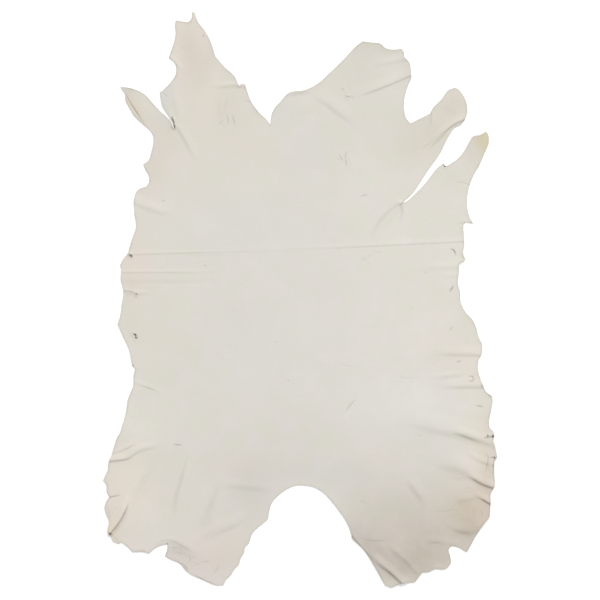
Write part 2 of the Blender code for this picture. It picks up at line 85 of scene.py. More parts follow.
# The edge goes round with the neck at the top: across, along, and a note where the edge has a corner.
# It starts at the tear between the left fore leg and the left cheek.
outline = {
    "leftCheekOutside": [
        (-12.56, 17, corner), (-12.63, 17.48), (-13.8, 19.55), (-14.02, 20.8, corner),
        (-13.78, 20.88, corner), (-12.9, 21.8), (-12.44, 22.5), (-12.52, 23.78), (-13.1, 24.22, corner),
        (-12.42, 26.8), (-12.48, 27.6),
    ],
    "leftCheekEnd": [
        (-12.42, 27.95, corner), (-11.6, 27.82), (-11.2, 27.76), (-10.86, 28.08), (-10.78, 28.77, corner),
    ],
    "leftCheekInside": [
        (-10.55, 28.77, corner), (-10.25, 27.9), (-9.38, 26.7), (-8.92, 25.8), (-8.48, 24.38, corner),
        (-7.5, 23.25), (-6.5, 22.3), (-6.18, 21.57), (-6.04, 21.36, corner), (-5.95, 21.53),
        (-5.48, 21.57, corner), (-4.88, 19.85), (-4, 18.65), (-3.2, 17.87),
    ],
    "rightCheekInside": [
        (-2.94, 17.45, corner), (-2.89, 18.3), (-2.66, 19), (-1.9, 19.9), (-1.25, 20.62), (0.55, 21),
        (1.55, 21.48), (2.9, 22.64), (4.2, 23.88), (5.9, 25.6),
    ],
    "rightCheekEnd": [
        (6.28, 25.86, corner), (7.1, 25.74), (8, 25.64), (8.54, 25.18), (9.4, 25.02),
        (10.13, 25.11, corner), (10.4, 24.7), (10.38, 24.3, corner), (10.85, 23.85), (11.15, 22.15, corner),
    ],
    "rightBay": [
        (10.83, 21.5), (10.4, 19.2), (10.58, 18.25), (11.02, 17.65, corner),
    ],
    "rightFinger": [
        (13, 18.62, corner), (13.32, 19.22), (14.1, 20), (14.9, 21.02), (15.45, 21.2), (16.5, 20.1),
        (16.6, 18.3), (16.38, 17.92, corner), (16.08, 17.5, corner), (15.5, 17.26),
    ],
    "foreLegSlitUpper": [
        (15.08, 16.7), (13.8, 14.35), (13.05, 13.32), (12.1, 11.9), (11.4, 10.85),
    ],
    "foreLegSlitLower": [
        (10.05, 9.58, corner), (10.7, 9.88), (11.6, 10.7), (12.5, 11.63), (13.9, 13.34),
        (14.33, 13.66, corner), (14.6, 13.36, corner), (15.5, 13.9), (16.3, 14.73), (16.92, 15.8),
        (17.3, 16.36), (18, 16.5),
    ],
    "rightForeLeg": [
        (18.62, 16.87, corner), (18.85, 16.4), (18.86, 15.7), (18.5, 14.8), (17.93, 13.48), (17.35, 12.47),
        (16.7, 10), (17.05, 8.05), (17.32, 7.65, corner), (16.45, 7.73),
    ],
    "rightFlank": [
        (16.32, 7.4, corner), (16.4, 5.6), (16.36, 4.4), (16.56, 4.04, corner), (15.98, 3.7), (15.88, 2.8),
        (15.78, 1.6), (16, 0.75), (16.05, -0.2), (16.5, -1.15), (17.28, -2.05), (17.62, -2.75),
        (17.8, -3.55), (18.22, -4.42, corner), (18.12, -5.5), (17.82, -6, corner), (17.78, -6.9),
        (18.28, -8.5), (18.55, -9.12), (19.15, -9.58, corner),
    ],
    "rightHindLeg": [
        (19.27, -10.05, corner), (19.1, -11), (18.88, -12.1), (18.92, -12.78, corner), (19.35, -13.25),
        (19.42, -13.65, corner), (19.25, -13.95, corner), (19.52, -14.8), (19.7, -15.75, corner),
        (19.42, -16.1, corner), (19.4, -17.3), (19.38, -18.7), (19.07, -19.35), (19.03, -20.4),
    ],
    "rightHindFoot": [
        (18.92, -21.68, corner), (18.2, -22.6), (16.68, -25.2, corner), (15.6, -24.65), (15.12, -24.6),
        (14.88, -24.88), (15, -25.6), (15.08, -26.3), (14.6, -26.84), (13.4, -26.9), (12.9, -27.16),
        (12.26, -27.2, corner), (11.5, -28.2, corner), (10.3, -28.28), (9.1, -28.72, corner),
        (8.5, -28.46, corner),
    ],
    "archRightSide": [
        (7, -25.85), (6.5, -25.1), (5.2, -23.85, corner), (5.03, -23.05), (3.9, -21.02), (1.4, -18.7),
    ],
    "archLeftSide": [
        (-0.3, -18.52), (-2.1, -19.5), (-2.75, -20.18), (-3.23, -21.95, corner), (-4.8, -23.4),
        (-5.18, -24.38), (-5.5, -24.72), (-5.57, -25.25, corner), (-5.97, -25.9), (-6.1, -26.42),
        (-6.5, -26.82, corner), (-6.85, -27.42), (-7.45, -28.05),
    ],
    "leftHindFoot": [
        (-7.62, -28.48, corner), (-8.4, -28.5), (-9.55, -28.04), (-11.42, -27.03), (-11.95, -26.37),
        (-12.9, -25.95), (-13.5, -25.6, corner), (-13.25, -24.9), (-13.22, -24.4, corner), (-13.95, -24.53),
        (-14.65, -24.93), (-15.08, -25.34, corner), (-15.45, -25.2), (-16.75, -25.18, corner),
        (-17.15, -24.75), (-17.85, -24.22, corner), (-18.15, -24.4, corner), (-18.7, -24.12),
        (-18.93, -23.43, corner),
    ],
    "leftHindLeg": [
        (-19.03, -23.6, corner), (-19.17, -23.1), (-19.09, -22.1), (-19.38, -21.45), (-19.53, -20.75),
        (-19.36, -20.12), (-19.04, -19.7, corner), (-19.3, -19.2), (-19.36, -18.4),
        (-19.68, -18.06, corner), (-19.4, -17.4), (-19.18, -16.9), (-19.16, -16.3), (-18.85, -15.6),
        (-18.24, -13.7), (-17.95, -13.2, corner), (-17.3, -10.8), (-17.22, -10.1), (-16.62, -8.3),
        (-16.62, -7.5),
    ],
    "leftFlankLower": [
        (-16.46, -6.85, corner), (-16.76, -6.6, corner), (-17.2, -4.65), (-17.5, -4.05),
        (-18.24, -2.43, corner), (-17.98, -1.6), (-17.8, -0.35), (-17.63, 0.8), (-17.93, 2.2), (-17.87, 3),
    ],
    "leftFlankUpper": [
        (-17.97, 3.48, corner), (-17.7, 4.07), (-17.25, 4.6), (-17, 5.4), (-16.72, 6.3), (-16.42, 7.1),
        (-16.57, 9.1), (-16.56, 10.1), (-16.38, 10.8), (-15.9, 11.18), (-15.38, 11.34, corner),
        (-15.07, 11.85), (-15.12, 12.45), (-15.45, 13.05),
    ],
    "leftShoulder": [
        (-15.66, 13.57, corner), (-15.15, 13.95), (-14.86, 14.75), (-14.72, 16.6),
    ],
    "leftForeLeg": [
        (-15.75, 17.64), (-16.45, 18.28), (-17.1, 19.3), (-17.47, 20.2), (-17.45, 20.6, corner),
        (-17.97, 21.3, corner), (-17.5, 21.27), (-15.5, 20.53), (-14.7, 19.65), (-13.9, 18.8), (-13, 17.92),
    ],
}

# Each fold: its path in squares, height in mm, width in mm left and right of the path, whether its first and
# last end fade out, and how sharp its crest is. Left of a path is the side towards the neck.
folds = [
    # storage creases
    (((-17.9, 4.54), (-12, 4.74), (-5.8, 4.92), (0.9, 5.17), (4.5, 5.32), (10, 5.59), (17, 5.92)),
     0.42, 15, 5, 0, 0, 1.1),
    (((-17.8, 4.54), (-12, 4.74), (-5, 4.94)), 0.4, 10, 3.6, 0, 1, 1.1),
    (((-0.4, 5.11), (4.5, 5.32), (10, 5.59), (16.9, 5.92)), 0.4, 10, 3.6, 1, 0, 1.1),
    (((-18, 2.78), (-11.2, 2.81), (-6.8, 2.9)), 0.8, 9, 4, 0, 1, 1.2),
    # left flank
    (((-17, 10), (-15.5, 9.4), (-14.1, 8.9), (-12.4, 8.7)), 2, 26, 11, 0, 1, 1.1),
    (((-18.1, 1), (-16.4, 0.7), (-14.6, 0.75)), 1.8, 9, 6, 0, 1, 1.1),
    (((-17.1, -8.05), (-15.5, -8.6), (-14.2, -9.1), (-13.2, -9.4)), 1, 14, 4.5, 0, 1, 1.2),
    # left hind leg
    (((-19.7, -16.05), (-18.2, -15.95), (-17.2, -15.75), (-16.5, -15.2), (-15.5, -14.8), (-14.5, -14.55),
      (-13.4, -13.7)), 3.4, 20, 6.5, 0, 1, 1.2),
    (((-19, -15.35), (-17.8, -14.95), (-16, -14.1)), 1.7, 9, 5, 0, 1, 1.1),
    (((-17.7, -19.3), (-17.25, -20), (-17.5, -21.15), (-18.15, -22.3), (-19.2, -23.6)),
     6, 8, 24, 1, 0, 1.1),
    (((-10.9, -15.2), (-11.6, -17.3), (-12.2, -19.1), (-12.55, -20.6), (-12.9, -22)), 3.4, 24, 9, 1, 1, 1),
    (((-7.8, -18), (-8.5, -19.5), (-9.4, -21.8), (-10, -23.3)), 3.8, 30, 15, 1, 1, 1),
    (((-4.6, -20.9), (-6.8, -22.47), (-8.1, -23.04), (-10.1, -24.7)), 3.2, 11, 27, 1, 1, 1),
    (((-13.8, -15.8), (-15.1, -17.4), (-15.9, -18.8), (-17, -20.6)), 3, 26, 16, 1, 1, 1),
    (((-9.4, -18.4), (-5.7, -18.6), (-1.6, -19)), 1.15, 22, 13, 1, 1, 1),
    (((-14, -24.2), (-13, -24), (-11.9, -24.4), (-10.8, -25.1), (-11.2, -26.4)), 1.5, 14, 8, 0, 1, 1),
    # left cheek and neck
    (((-12.9, 17.9), (-12.2, 17.1), (-11.6, 16.1), (-10.7, 14.5), (-10.2, 13.6)), 1.7, 26, 5, 0, 1, 1.1),
    (((-8.9, 21.25), (-7.8, 21.38), (-6.5, 21.48), (-5.4, 21.34)), 2.4, 12, 5, 1, 0, 1.1),
    (((-7.3, 20.9), (-7.9, 19), (-8.3, 17.6)), 1.9, 14, 9, 1, 1, 1),
    (((-13.1, 24.45), (-12.4, 23.65), (-11.6, 22.8)), 1.8, 8, 4.5, 0, 1, 1.1),
    (((-1.7, 20.45), (-0.2, 20.75), (1.4, 21)), 2.2, 10, 6, 1, 1, 1),
    (((-12.65, 22), (-12.4, 19.5), (-11.85, 17.1)), 1.5, 20, 8, 1, 1, 1),
    # right cheek
    (((4.7, 20.05), (6.7, 20.7), (8.6, 21.43), (10.2, 22.1), (11.9, 22.85)), 2.2, 26, 5.5, 1, 0, 1.2),
    (((7, 23.35), (8.6, 23.75), (10.3, 24.1), (11.3, 24.3)), 1.6, 16, 9, 1, 0, 1),
    (((0.8, 20.9), (2.9, 19.6), (4.3, 18.5), (6, 17.3)), 1.7, 34, 12, 1, 1, 1),
    # right fore leg and its slit
    (((12.7, 15.4), (13.95, 16.35), (15.15, 17.43), (16.4, 18.05), (17, 18.35)), 3, 16, 5, 1, 0, 1.2),
    (((13.07, 19.3), (13.07, 18.4), (13.03, 17.3)), 1.8, 8, 4.5, 1, 1, 1.1),
    (((10, 9.6), (9.2, 8.8), (8, 7.5), (6.8, 5.8)), 1.8, 16, 11, 0, 1, 1),
    (((10.05, 9.65), (10.25, 9), (10.1, 7.8)), 2.2, 8, 6, 0, 1, 1),
    # right flank
    (((13, -5.26), (15.1, -5.32), (16.6, -5.34), (18.6, -5.44)), 1.7, 28, 9, 1, 0, 1.1),
    (((11.6, 3.2), (13.8, 3.3), (16, 3.36)), 0.9, 16, 7, 1, 0, 1),
    (((14, 2.44), (15.8, 2.48)), 0.7, 8, 5, 1, 0, 1),
    (((12.7, -7.76), (14.3, -7.62), (15.5, -7.46), (16.8, -7.32)), 1.9, 14, 6.5, 1, 1, 1.1),
    (((13.4, -8.66), (15.5, -8.6), (16.6, -8.54), (18.8, -8.56)), 1.8, 26, 10, 1, 0, 1),
    # right hind leg
    (((9.6, -11.8), (11.8, -12.36), (14, -12.86), (15.9, -13.26), (17.4, -13.7), (20, -14.4)),
     3.4, 44, 20, 1, 0, 1),
    (((14.6, -12.9), (15.8, -13.2), (16.8, -13.5), (17.8, -13.86), (19.2, -14.1)), 3.4, 20, 9, 1, 1, 1),
    (((13, -16.2), (15.4, -16.54), (16.6, -16.96), (17.8, -17.7), (19.8, -18.8)), 3.8, 42, 20, 1, 0, 1),
    (((16.3, -17.2), (17.3, -17.74), (18.1, -18.26), (19.7, -18.74)), 3.6, 18, 8, 1, 0, 1.1),
    (((17.2, -19.26), (18, -19.64), (18.9, -20.22), (19.6, -20.64)), 3.8, 16, 8, 1, 0, 1.2),
    (((15.2, -20.06), (16.6, -19.86), (18, -19.5)), 1.4, 12, 9, 1, 1, 1),
    (((16.4, -15), (17.4, -15.65), (18.2, -16.1), (19.4, -16.4)), 1.9, 12, 7.5, 1, 0, 1),
    (((14.3, -22.1), (15.2, -22.6), (16.1, -22.96), (17.3, -23), (18.2, -22.44), (19.3, -21.46)),
     3.4, 24, 14, 1, 0, 1),
    (((12.2, -24), (13.6, -24.1), (15.5, -24.28)), 1.5, 16, 9, 1, 0, 1),
    (((10.4, -17.2), (11.2, -18.4), (12, -19.5), (12.7, -20.9)), 2.2, 26, 14, 1, 1, 1),
    (((6.6, -24.9), (8, -26.25), (9.16, -27.2), (10.5, -28.5)), 7, 18, 8.5, 1, 0, 1.1),
    (((8.4, -24), (9.6, -25.1), (10.7, -26.14), (11.6, -27.1)), 1.9, 14, 9, 1, 0, 1),
    (((4.8, -23.5), (6.1, -24.9), (7.7, -27.1)), 3.2, 9, 8, 1, 1, 1),
]

# Fine creases, modelled with a closer mesh, in the same columns, but with how dark they are made as the last:
# partly grime, partly painted shade in the valleys and the tear, and the broad shallow rows are painted shade
# bands.
# A height below zero presses a line down.
creases = [
    # storage creases
    (((-15, 5.04), (-10, 5.06), (-5, 5.02)), -0.3, 2.4, 2.4, 1, 1, 0.05),
    (((-17.7, 4.44), (-12, 4.64), (-6.4, 4.78)), -0.3, 2.4, 2.4, 0, 1, 0.07),
    (((0, 5.06), (4.5, 5.2), (10, 5.46), (16.8, 5.8)), -0.3, 2.6, 2.4, 1, 0, 0.07),
    (((-17.8, 2.7), (-14, 2.72), (-10.4, 2.74)), -0.3, 2.2, 2.2, 0, 1, 0.08),
    (((-17.6, 1.8), (-11.5, 1.76), (-6.8, 1.85)), -0.4, 8, 8, 0, 1, 0.045),
    (((-12.4, 4.4), (-9.2, 4.4), (-6, 4.5)), -0.3, 6, 6, 1, 1, 0.035),
    # left cheek
    (((-12.8, 18.25), (-12.76, 18), (-12.58, 17.7), (-12.6, 17.4), (-12.44, 16.9)), -1.8, 3, 3, 0, 1, 1),
    (((-13.04, 17.3), (-12.82, 17.2), (-12.7, 16.9)), -0.6, 1.8, 1.8, 1, 1, 0.45),
    (((-12.95, 18.2), (-12.85, 17.6), (-13, 16.8)), -0.8, 1.8, 1.8, 1, 1, 0.35),
    (((-13.2, 17.8), (-13.15, 17), (-13.25, 16.4)), -0.6, 1.6, 1.6, 1, 1, 0.15),
    (((-12.2, 17.1), (-11.55, 16), (-10.65, 14.4)), -0.8, 2.8, 2.4, 0, 1, 0.12),
    (((-7.24, 20.8), (-7.4, 19.6), (-7.8, 18.2)), -0.5, 4.6, 4.6, 1, 1, 0.08),
    (((-7.4, 18.8), (-7.22, 18), (-7.15, 17.3)), -0.7, 3.4, 3.2, 1, 1, 0.22),
    (((-6.8, 18.7), (-6.64, 18), (-6.5, 17.1)), -0.8, 3.4, 3, 1, 1, 0.26),
    (((-8.4, 17.35), (-8, 17.65), (-7.5, 18.15)), -0.5, 2.6, 2.6, 1, 1, 0.16),
    (((-8.1, 17.9), (-7.8, 17.56), (-7.6, 17.3)), -0.4, 2.4, 2.4, 1, 1, 0.09),
    (((-5.7, 20), (-5.3, 19.85), (-4.7, 19.65)), -0.6, 2.6, 2.6, 1, 0, 0.1),
    (((-12, 25.3), (-11.55, 25.07)), -0.5, 2.2, 2.2, 1, 1, 0.1),
    (((-13.7, 20.85), (-13.5, 20.5), (-13.15, 20.25)), -0.8, 1.8, 1.8, 1, 1, 0.25),
    (((-9.8, 26.7), (-9.6, 26.35)), -0.6, 1.8, 1.8, 1, 1, 0.3),
    # left fore leg
    (((-17.54, 20.8), (-17.25, 20.22), (-16.7, 19.3), (-16, 18.24), (-15.3, 17.2)),
     -1.8, 3, 2.6, 1, 1, 0.6),
    (((-17.5, 20.55), (-17.2, 20.1), (-16.9, 19.7)), -0.8, 1.8, 1.8, 1, 1, 0.4),
    # left flank
    (((-13.95, 9.92), (-13.4, 9.86)), -0.8, 2.2, 2.2, 1, 1, 0.3),
    (((-16, -8.56), (-15.1, -8.8), (-14.2, -9.14)), -0.8, 2.2, 2, 1, 1, 0.28),
    (((-17.8, 0.95), (-17, 0.84), (-16.15, 0.62)), -0.9, 2.6, 2.4, 0, 1, 0.4),
    (((-16.65, 0.45), (-16.5, 0.1)), -0.6, 1.8, 1.8, 1, 1, 0.2),
    (((-16.7, -4), (-16.3, -4.45)), -0.5, 1.8, 1.8, 1, 1, 0.15),
    (((-17.15, -3.2), (-16.85, -3.6)), -0.5, 1.8, 1.8, 1, 1, 0.15),
    (((-12.75, -14.42), (-12.25, -14.49), (-11.7, -14.49)), -1, 2.8, 2.8, 1, 1, 0.55),
    (((-17.4, -11.75), (-16.4, -11.78)), -0.4, 2.2, 2.2, 1, 1, 0.08),
    # left hind leg
    (((-19.4, -16.1), (-18.2, -16.03), (-17.2, -15.84), (-16.6, -15.36)), -1, 2.2, 2.2, 0, 1, 0.35),
    (((-18.05, -15.13), (-17.2, -14.8), (-16.1, -14.18)), -0.7, 2, 2, 1, 1, 0.12),
    (((-19.3, -19.85), (-18.7, -19.66), (-17.8, -19.5)), -1.6, 3.2, 2.6, 0, 1, 0.5),
    (((-17.17, -19.6), (-17.18, -20.3), (-17.55, -21.3), (-18.2, -22.4), (-19.1, -23.5)),
     -2, 2.4, 2.6, 1, 0, 0.75),
    (((-19.35, -20.3), (-19.1, -21.2), (-19, -22.2)), -0.8, 2, 2, 1, 1, 0.25),
    (((-18.7, -20.5), (-18.1, -20.8)), 0.6, 2.4, 2.4, 1, 1, 0),
    (((-18.8, -21.1), (-18.3, -21.5)), 0.5, 2.4, 2.4, 1, 1, 0),
    (((-14, -24.1), (-13.2, -24), (-12.6, -24.14), (-11.9, -24.5), (-11, -25.16)),
     -0.7, 2.6, 2.6, 0, 1, 0.13),
    (((-11.4, -25.3), (-11, -25.8), (-11.2, -26.4)), -0.8, 2.8, 2.8, 1, 1, 0.18),
    (((-13.2, -24.66), (-12.4, -24.84), (-11.6, -24.8)), -0.6, 2, 2, 1, 1, 0.14),
    (((-12.7, -24.36), (-12.6, -24.9), (-12.7, -25.5)), -0.6, 1.8, 1.8, 1, 1, 0.12),
    (((-12, -24.6), (-11.9, -25.2), (-12, -25.8)), -0.6, 1.8, 1.8, 1, 1, 0.12),
    (((-11.34, -24.9), (-11.5, -25.5), (-11.3, -26.1)), -0.6, 1.8, 1.8, 1, 1, 0.12),
    (((-13.1, -25.64), (-12.3, -25.8), (-11.6, -26.04)), 0.5, 2, 2, 1, 1, 0),
    (((-11, -26.1), (-10.6, -25.7), (-10.1, -25.6)), -0.5, 2.4, 2.4, 1, 1, 0.12),
    (((-12.9, -25.35), (-12, -25.3), (-11.4, -25.6)), -0.5, 2, 2, 1, 1, 0.12),
    (((-10.1, -26.14), (-9.55, -26.22), (-8.9, -26.06)), -0.7, 3, 3, 1, 1, 0.2),
    (((-8.9, -27.6), (-8.4, -27.1), (-8, -26.3)), -0.7, 4.2, 4.2, 1, 1, 0.13),
    (((-11.1, -14.8), (-11.8, -17.8), (-12.3, -19.6), (-12.8, -22.4)), -0.4, 6, 6, 1, 1, 0.14),
    (((-7.7, -17.6), (-8.6, -19.8), (-9.7, -22.6)), -0.4, 12, 12, 1, 1, 0.1),
    (((-13.6, -15.2), (-15.2, -17.4), (-17.2, -20.4)), -0.4, 16, 16, 1, 1, 0.07),
    (((-8.6, -18.5), (-5.5, -18.86), (-2.4, -19.1)), -0.4, 12, 12, 1, 1, 0.04),
    (((-10.8, -25), (-8.9, -23.3), (-6.4, -22)), -0.4, 14, 14, 1, 1, 0.06),
    (((-18.8, -23.5), (-18.3, -24), (-18, -24.5)), -0.5, 2.4, 2.4, 1, 1, 0.3),
    (((-11.8, -26.2), (-11.4, -26.7), (-11.1, -27.3)), -0.5, 3, 3, 1, 1, 0.35),
    (((-10.6, -27.5), (-9.4, -28.1), (-8.1, -28.5)), -0.4, 2.8, 2.8, 1, 1, 0.3),
    (((-10.7, -26.2), (-10.3, -26.4), (-9.9, -26.3)), -0.4, 2, 2, 1, 1, 0.18),
    # right cheek
    (((4.2, 20.6), (4.7, 20.34), (5.25, 20.2), (5.38, 19.8)), -0.9, 2.4, 2.4, 1, 1, 0.22),
    (((1.2, 20.3), (3, 19.1), (4.4, 18.1), (5.7, 17.1)), -0.4, 10, 10, 1, 1, 0.045),
    (((-0.8, 18.6), (0.4, 18.56), (1.4, 18.7)), -0.3, 8, 8, 1, 1, 0.035),
    (((5.2, 20.14), (6.7, 20.62), (8.6, 21.34), (11.1, 22.4)), -0.7, 2.4, 2.2, 1, 0, 0.14),
    # right fore leg
    (((14, 13.62), (14.5, 13.4), (14.9, 13.3)), -1.4, 2.4, 2.2, 1, 1, 0.5),
    (((15, 13.65), (15.5, 13.85)), -0.7, 2, 2, 1, 1, 0.2),
    (((13.6, 16.1), (14.6, 16.9), (15.6, 17.64), (16.4, 17.97)), -1.2, 2.4, 2.2, 1, 0, 0.35),
    (((13.1, 19), (13.1, 18.2), (13.06, 17.4)), -0.7, 2, 2, 0, 1, 0.22),
    (((15.4, 11.7), (16.2, 11.74), (16.9, 11.45)), -0.8, 2.6, 2.4, 1, 0, 0.14),
    (((15.4, 7.45), (16.3, 7.66), (17.3, 7.7)), -0.9, 2.4, 2.2, 1, 0, 0.15),
    (((5.9, 10.34), (6.4, 10.44), (6.9, 10.58)), -0.8, 2.4, 2.4, 1, 1, 0.4),
    (((12.5, 14.7), (13.6, 15.7), (14.9, 16.9)), -0.6, 3.6, 3.6, 1, 1, 0.14),
    (((11.9, 14.9), (12.7, 15.4), (13.3, 16.2)), -0.4, 3.6, 3.6, 1, 1, 0.1),
    (((9.74, 9.5), (8.74, 8.7), (7.8, 7.6), (6.9, 6.1)), -0.5, 8, 8, 0, 1, 0.17),
    (((10.05, 9.5), (10.28, 9), (10.15, 8.3)), -0.6, 4.6, 4.6, 0, 1, 0.17),
    # wither wrinkles
    (((3.8, 14.65), (4.1, 14.2), (4.4, 13.75)), -0.6, 2.2, 2.2, 1, 1, 0.34),
    (((4.74, 15), (4.53, 14.4), (4.46, 13.9)), -0.6, 2.2, 2.2, 1, 1, 0.34),
    (((4.54, 14.4), (4.6, 13.8), (4.62, 13.1)), -0.7, 2.2, 2.2, 1, 1, 0.4),
    (((3.6, 14.15), (4.2, 13.96)), -0.4, 2, 2, 1, 1, 0.24),
    # belly scratches
    (((6.16, 3.9), (6.4, 4), (6.66, 4.26)), -0.4, 2.6, 2.6, 1, 1, 0.26),
    (((6.6, 4.54), (6.9, 4.34), (7.2, 4.66)), -0.4, 2.2, 2.2, 1, 1, 0.16),
    (((7.1, 4.6), (7.5, 4.86), (7.8, 4.68), (8.3, 5.1)), -0.4, 2.2, 2.2, 1, 1, 0.2),
    (((4.36, -11.5), (4.8, -10.8), (5.2, -10.3), (5.74, -9.64)), -0.5, 2.2, 2.2, 1, 1, 0.36),
    (((3.3, -6.44), (4.8, -6.6), (6.3, -6.68)), -0.4, 2.8, 2.8, 1, 1, 0.09),
    (((8.8, -7.54), (10.6, -7.8), (12.4, -7.84)), -0.3, 4, 4, 1, 1, 0.06),
    (((3.5, 5.06), (4.2, 5.1)), -0.4, 2.2, 2.2, 1, 1, 0.14),
    (((12.2, 2.76), (13, 2.72)), -0.3, 2.2, 2.2, 1, 1, 0.08),
    (((-4, 1.8), (-3.7, 1.4)), -0.3, 1.8, 1.8, 1, 1, 0.08),
    # fixing marks
    (((14.86, 5.1), (15.2, 5.07), (15.46, 4.84), (15.52, 4.3)), -0.6, 3, 3, 1, 1, 0.8),
    (((15.4, 1.6), (15.2, 1.2), (14.86, 0.7)), -0.7, 3.4, 3.4, 1, 1, 0.66),
    (((15.3, -2.54), (15.1, -2.86), (14.86, -3.2)), -0.5, 3.2, 3.2, 1, 1, 0.3),
    (((15.54, -6.18), (16.16, -6.14)), -0.6, 3.6, 3.6, 1, 1, 0.42),
    (((16.92, -7.64), (17.26, -7.64), (17.28, -8.1), (16.94, -8.12)), -0.7, 2.5, 2.5, 0, 0, 0.5),
    (((17.5, -10.58), (17.9, -10.6), (18.4, -10.72)), -0.6, 2.8, 2.8, 1, 1, 0.55),
    (((-16.4, 0.6), (-16.36, 0)), -0.5, 2.8, 2.8, 0, 1, 0.26),
    # right flank
    (((13.6, -5.5), (16, -5.54), (18.2, -5.64)), -0.4, 6.4, 6.4, 1, 0, 0.11),
    (((14, -8.8), (16.4, -8.76), (18.5, -8.8)), -0.4, 6.4, 6.4, 1, 0, 0.1),
    (((18.1, -8.46), (18.6, -9.1), (19.1, -9.7)), 0.4, 3.6, 3.2, 0, 0, 0.3),
    (((11.55, -13.54), (12.3, -13.6)), -0.6, 2.4, 2.4, 1, 1, 0.18),
    # right hind leg
    (((15, -13.24), (16.2, -13.56), (17.2, -13.92), (18.4, -14.26)), -0.9, 4.8, 5.4, 1, 1, 0.3),
    (((18.2, -13.8), (18.8, -13.72), (19.3, -13.62)), -1.2, 2.6, 2.6, 1, 0, 0.7),
    (((18.2, -14.4), (19, -14.5)), -0.7, 2.2, 2.2, 1, 0, 0.2),
    (((18.3, -15), (18.8, -15.7), (18.68, -16.5), (18.46, -17.7)), -0.8, 2.8, 2.8, 1, 1, 0.34),
    (((19.4, -15.9), (19.28, -16.8), (19.24, -18)), -0.5, 2.6, 2.6, 0, 1, 0.34),
    (((5.2, -23.6), (6.2, -24.8), (6.9, -25.6), (7.7, -26.8)), -0.6, 3.4, 3.4, 0, 1, 0.5),
    (((5.2, -23.7), (7.2, -24.06), (9.7, -24)), -0.4, 4, 4, 1, 1, 0.12),
    (((14.8, -17.7), (16, -17.9), (17.2, -17.8)), -0.3, 7, 7, 1, 1, 0.09),
    (((13, -21.2), (14.6, -21.1), (15.8, -20.9)), -0.3, 4, 4, 1, 1, 0.09),
    (((5.8, -20), (7, -20.5)), -0.3, 3, 3, 1, 1, 0.1),
    (((18.9, -15.75), (19.5, -15.75)), -0.9, 2.4, 2.4, 1, 0, 0.5),
    (((16.8, -17.56), (17.8, -18.18), (18.6, -18.56), (19.2, -18.76)), -1.2, 4.2, 4.2, 1, 0, 0.42),
    (((17.85, -19.76), (18.4, -20.06), (19.1, -20.46)), -1.6, 3.4, 3.2, 1, 0, 0.6),
    (((15.2, -22.86), (16.2, -23.24), (17.5, -23.16)), -0.7, 5.4, 5.4, 1, 1, 0.14),
    (((8.1, -26.45), (9.1, -27.3), (10.1, -28.2)), -1.2, 3.2, 3, 1, 0, 0.35),
    (((9.6, -25.3), (10.8, -26.44), (11.4, -27.1)), -0.6, 4, 4, 1, 1, 0.08),
    (((12.6, -24.26), (14.2, -24.34)), -0.6, 3.6, 3.6, 1, 1, 0.08),
    (((15.2, -20.26), (16.6, -20.1), (18, -19.8)), -0.4, 8, 8, 1, 1, 0.06),
    (((10.4, -17.8), (11.3, -19), (12.2, -20.3), (12.4, -21.2)), -0.4, 11, 11, 1, 1, 0.065),
    (((8.4, -24.6), (9.6, -25.7), (11.2, -27.3)), -0.3, 9, 9, 1, 1, 0.05),
    (((18.7, -14.4), (19.14, -15.4), (19.3, -16.6)), 0.5, 2.6, 2.6, 1, 1, 0),
    (((18.2, -16.2), (18.84, -16.8), (19, -17.9)), -0.5, 2.6, 2.6, 1, 1, 0.2),
    (((16.4, -19.2), (16.8, -18.8), (17.4, -19)), -0.4, 2.6, 2.6, 1, 1, 0.05),
    (((17, -20.5), (17.4, -21.2), (17.2, -22)), -0.6, 2.4, 2.4, 1, 1, 0.1),
    (((17.8, -20.7), (18.2, -21.4), (18, -22.1)), -0.6, 2.4, 2.4, 1, 1, 0.12),
    (((14.9, -21), (16, -21.15)), -0.3, 2.6, 2.6, 1, 1, 0.05),
]

# Small marks where the skin was pinned out to dry: place in squares, width of the dark spot in mm, how dark,
# height of the pucker round it in mm, and how many small wrinkles run out from it. The darkest spots are
# painted shade where pin holes look dark; the faint ones are small marks.
marks = [
    (-17.01, 4.46, 5.6, 0.7, 1, 5),
    (-16.84, 4.4, 5.6, 0.9, 0.5, 0),
    (-16.48, -3.48, 6.4, 1, 1.2, 7),
    (-16.38, -3.76, 5, 0.9, 0.4, 0),
    (-16.32, 0.6, 4.5, 0.4, 0.6, 0),
    (19.26, -13.63, 6.5, 1, 1, 3),
    (18.74, -13.56, 4.5, 0.8, 0.7, 0),
    (19.43, -15.76, 5.5, 0.7, 0.8, 0),
    (14.52, 13.38, 5.5, 0.9, 0.8, 0),
    (-12.68, 17.96, 4.2, 0.7, 0.8, 0),
    (-12.52, 17.34, 4.6, 0.9, 1, 5),
    (4.26, 21.07, 4.5, 0.25, 0.6, 0),
    (4.76, 20.28, 5, 0.2, 1, 0),
    (-9.48, 3.43, 4, 0.25, 0.3, 0),
    (11.17, -0.76, 4.5, 0.12, 0.5, 0),
    (-2.33, -4.2, 4, 0.12, 0.4, 0),
    (-1.17, -8.04, 4, 0.15, 0.4, 0),
    (-9.65, 26.4, 4, 0.4, 0.4, 0),
    (-18.98, -23.32, 6, 0.8, 0.8, 0),
    (-16.67, -6.55, 4.5, 0.4, 0.6, 0),
]
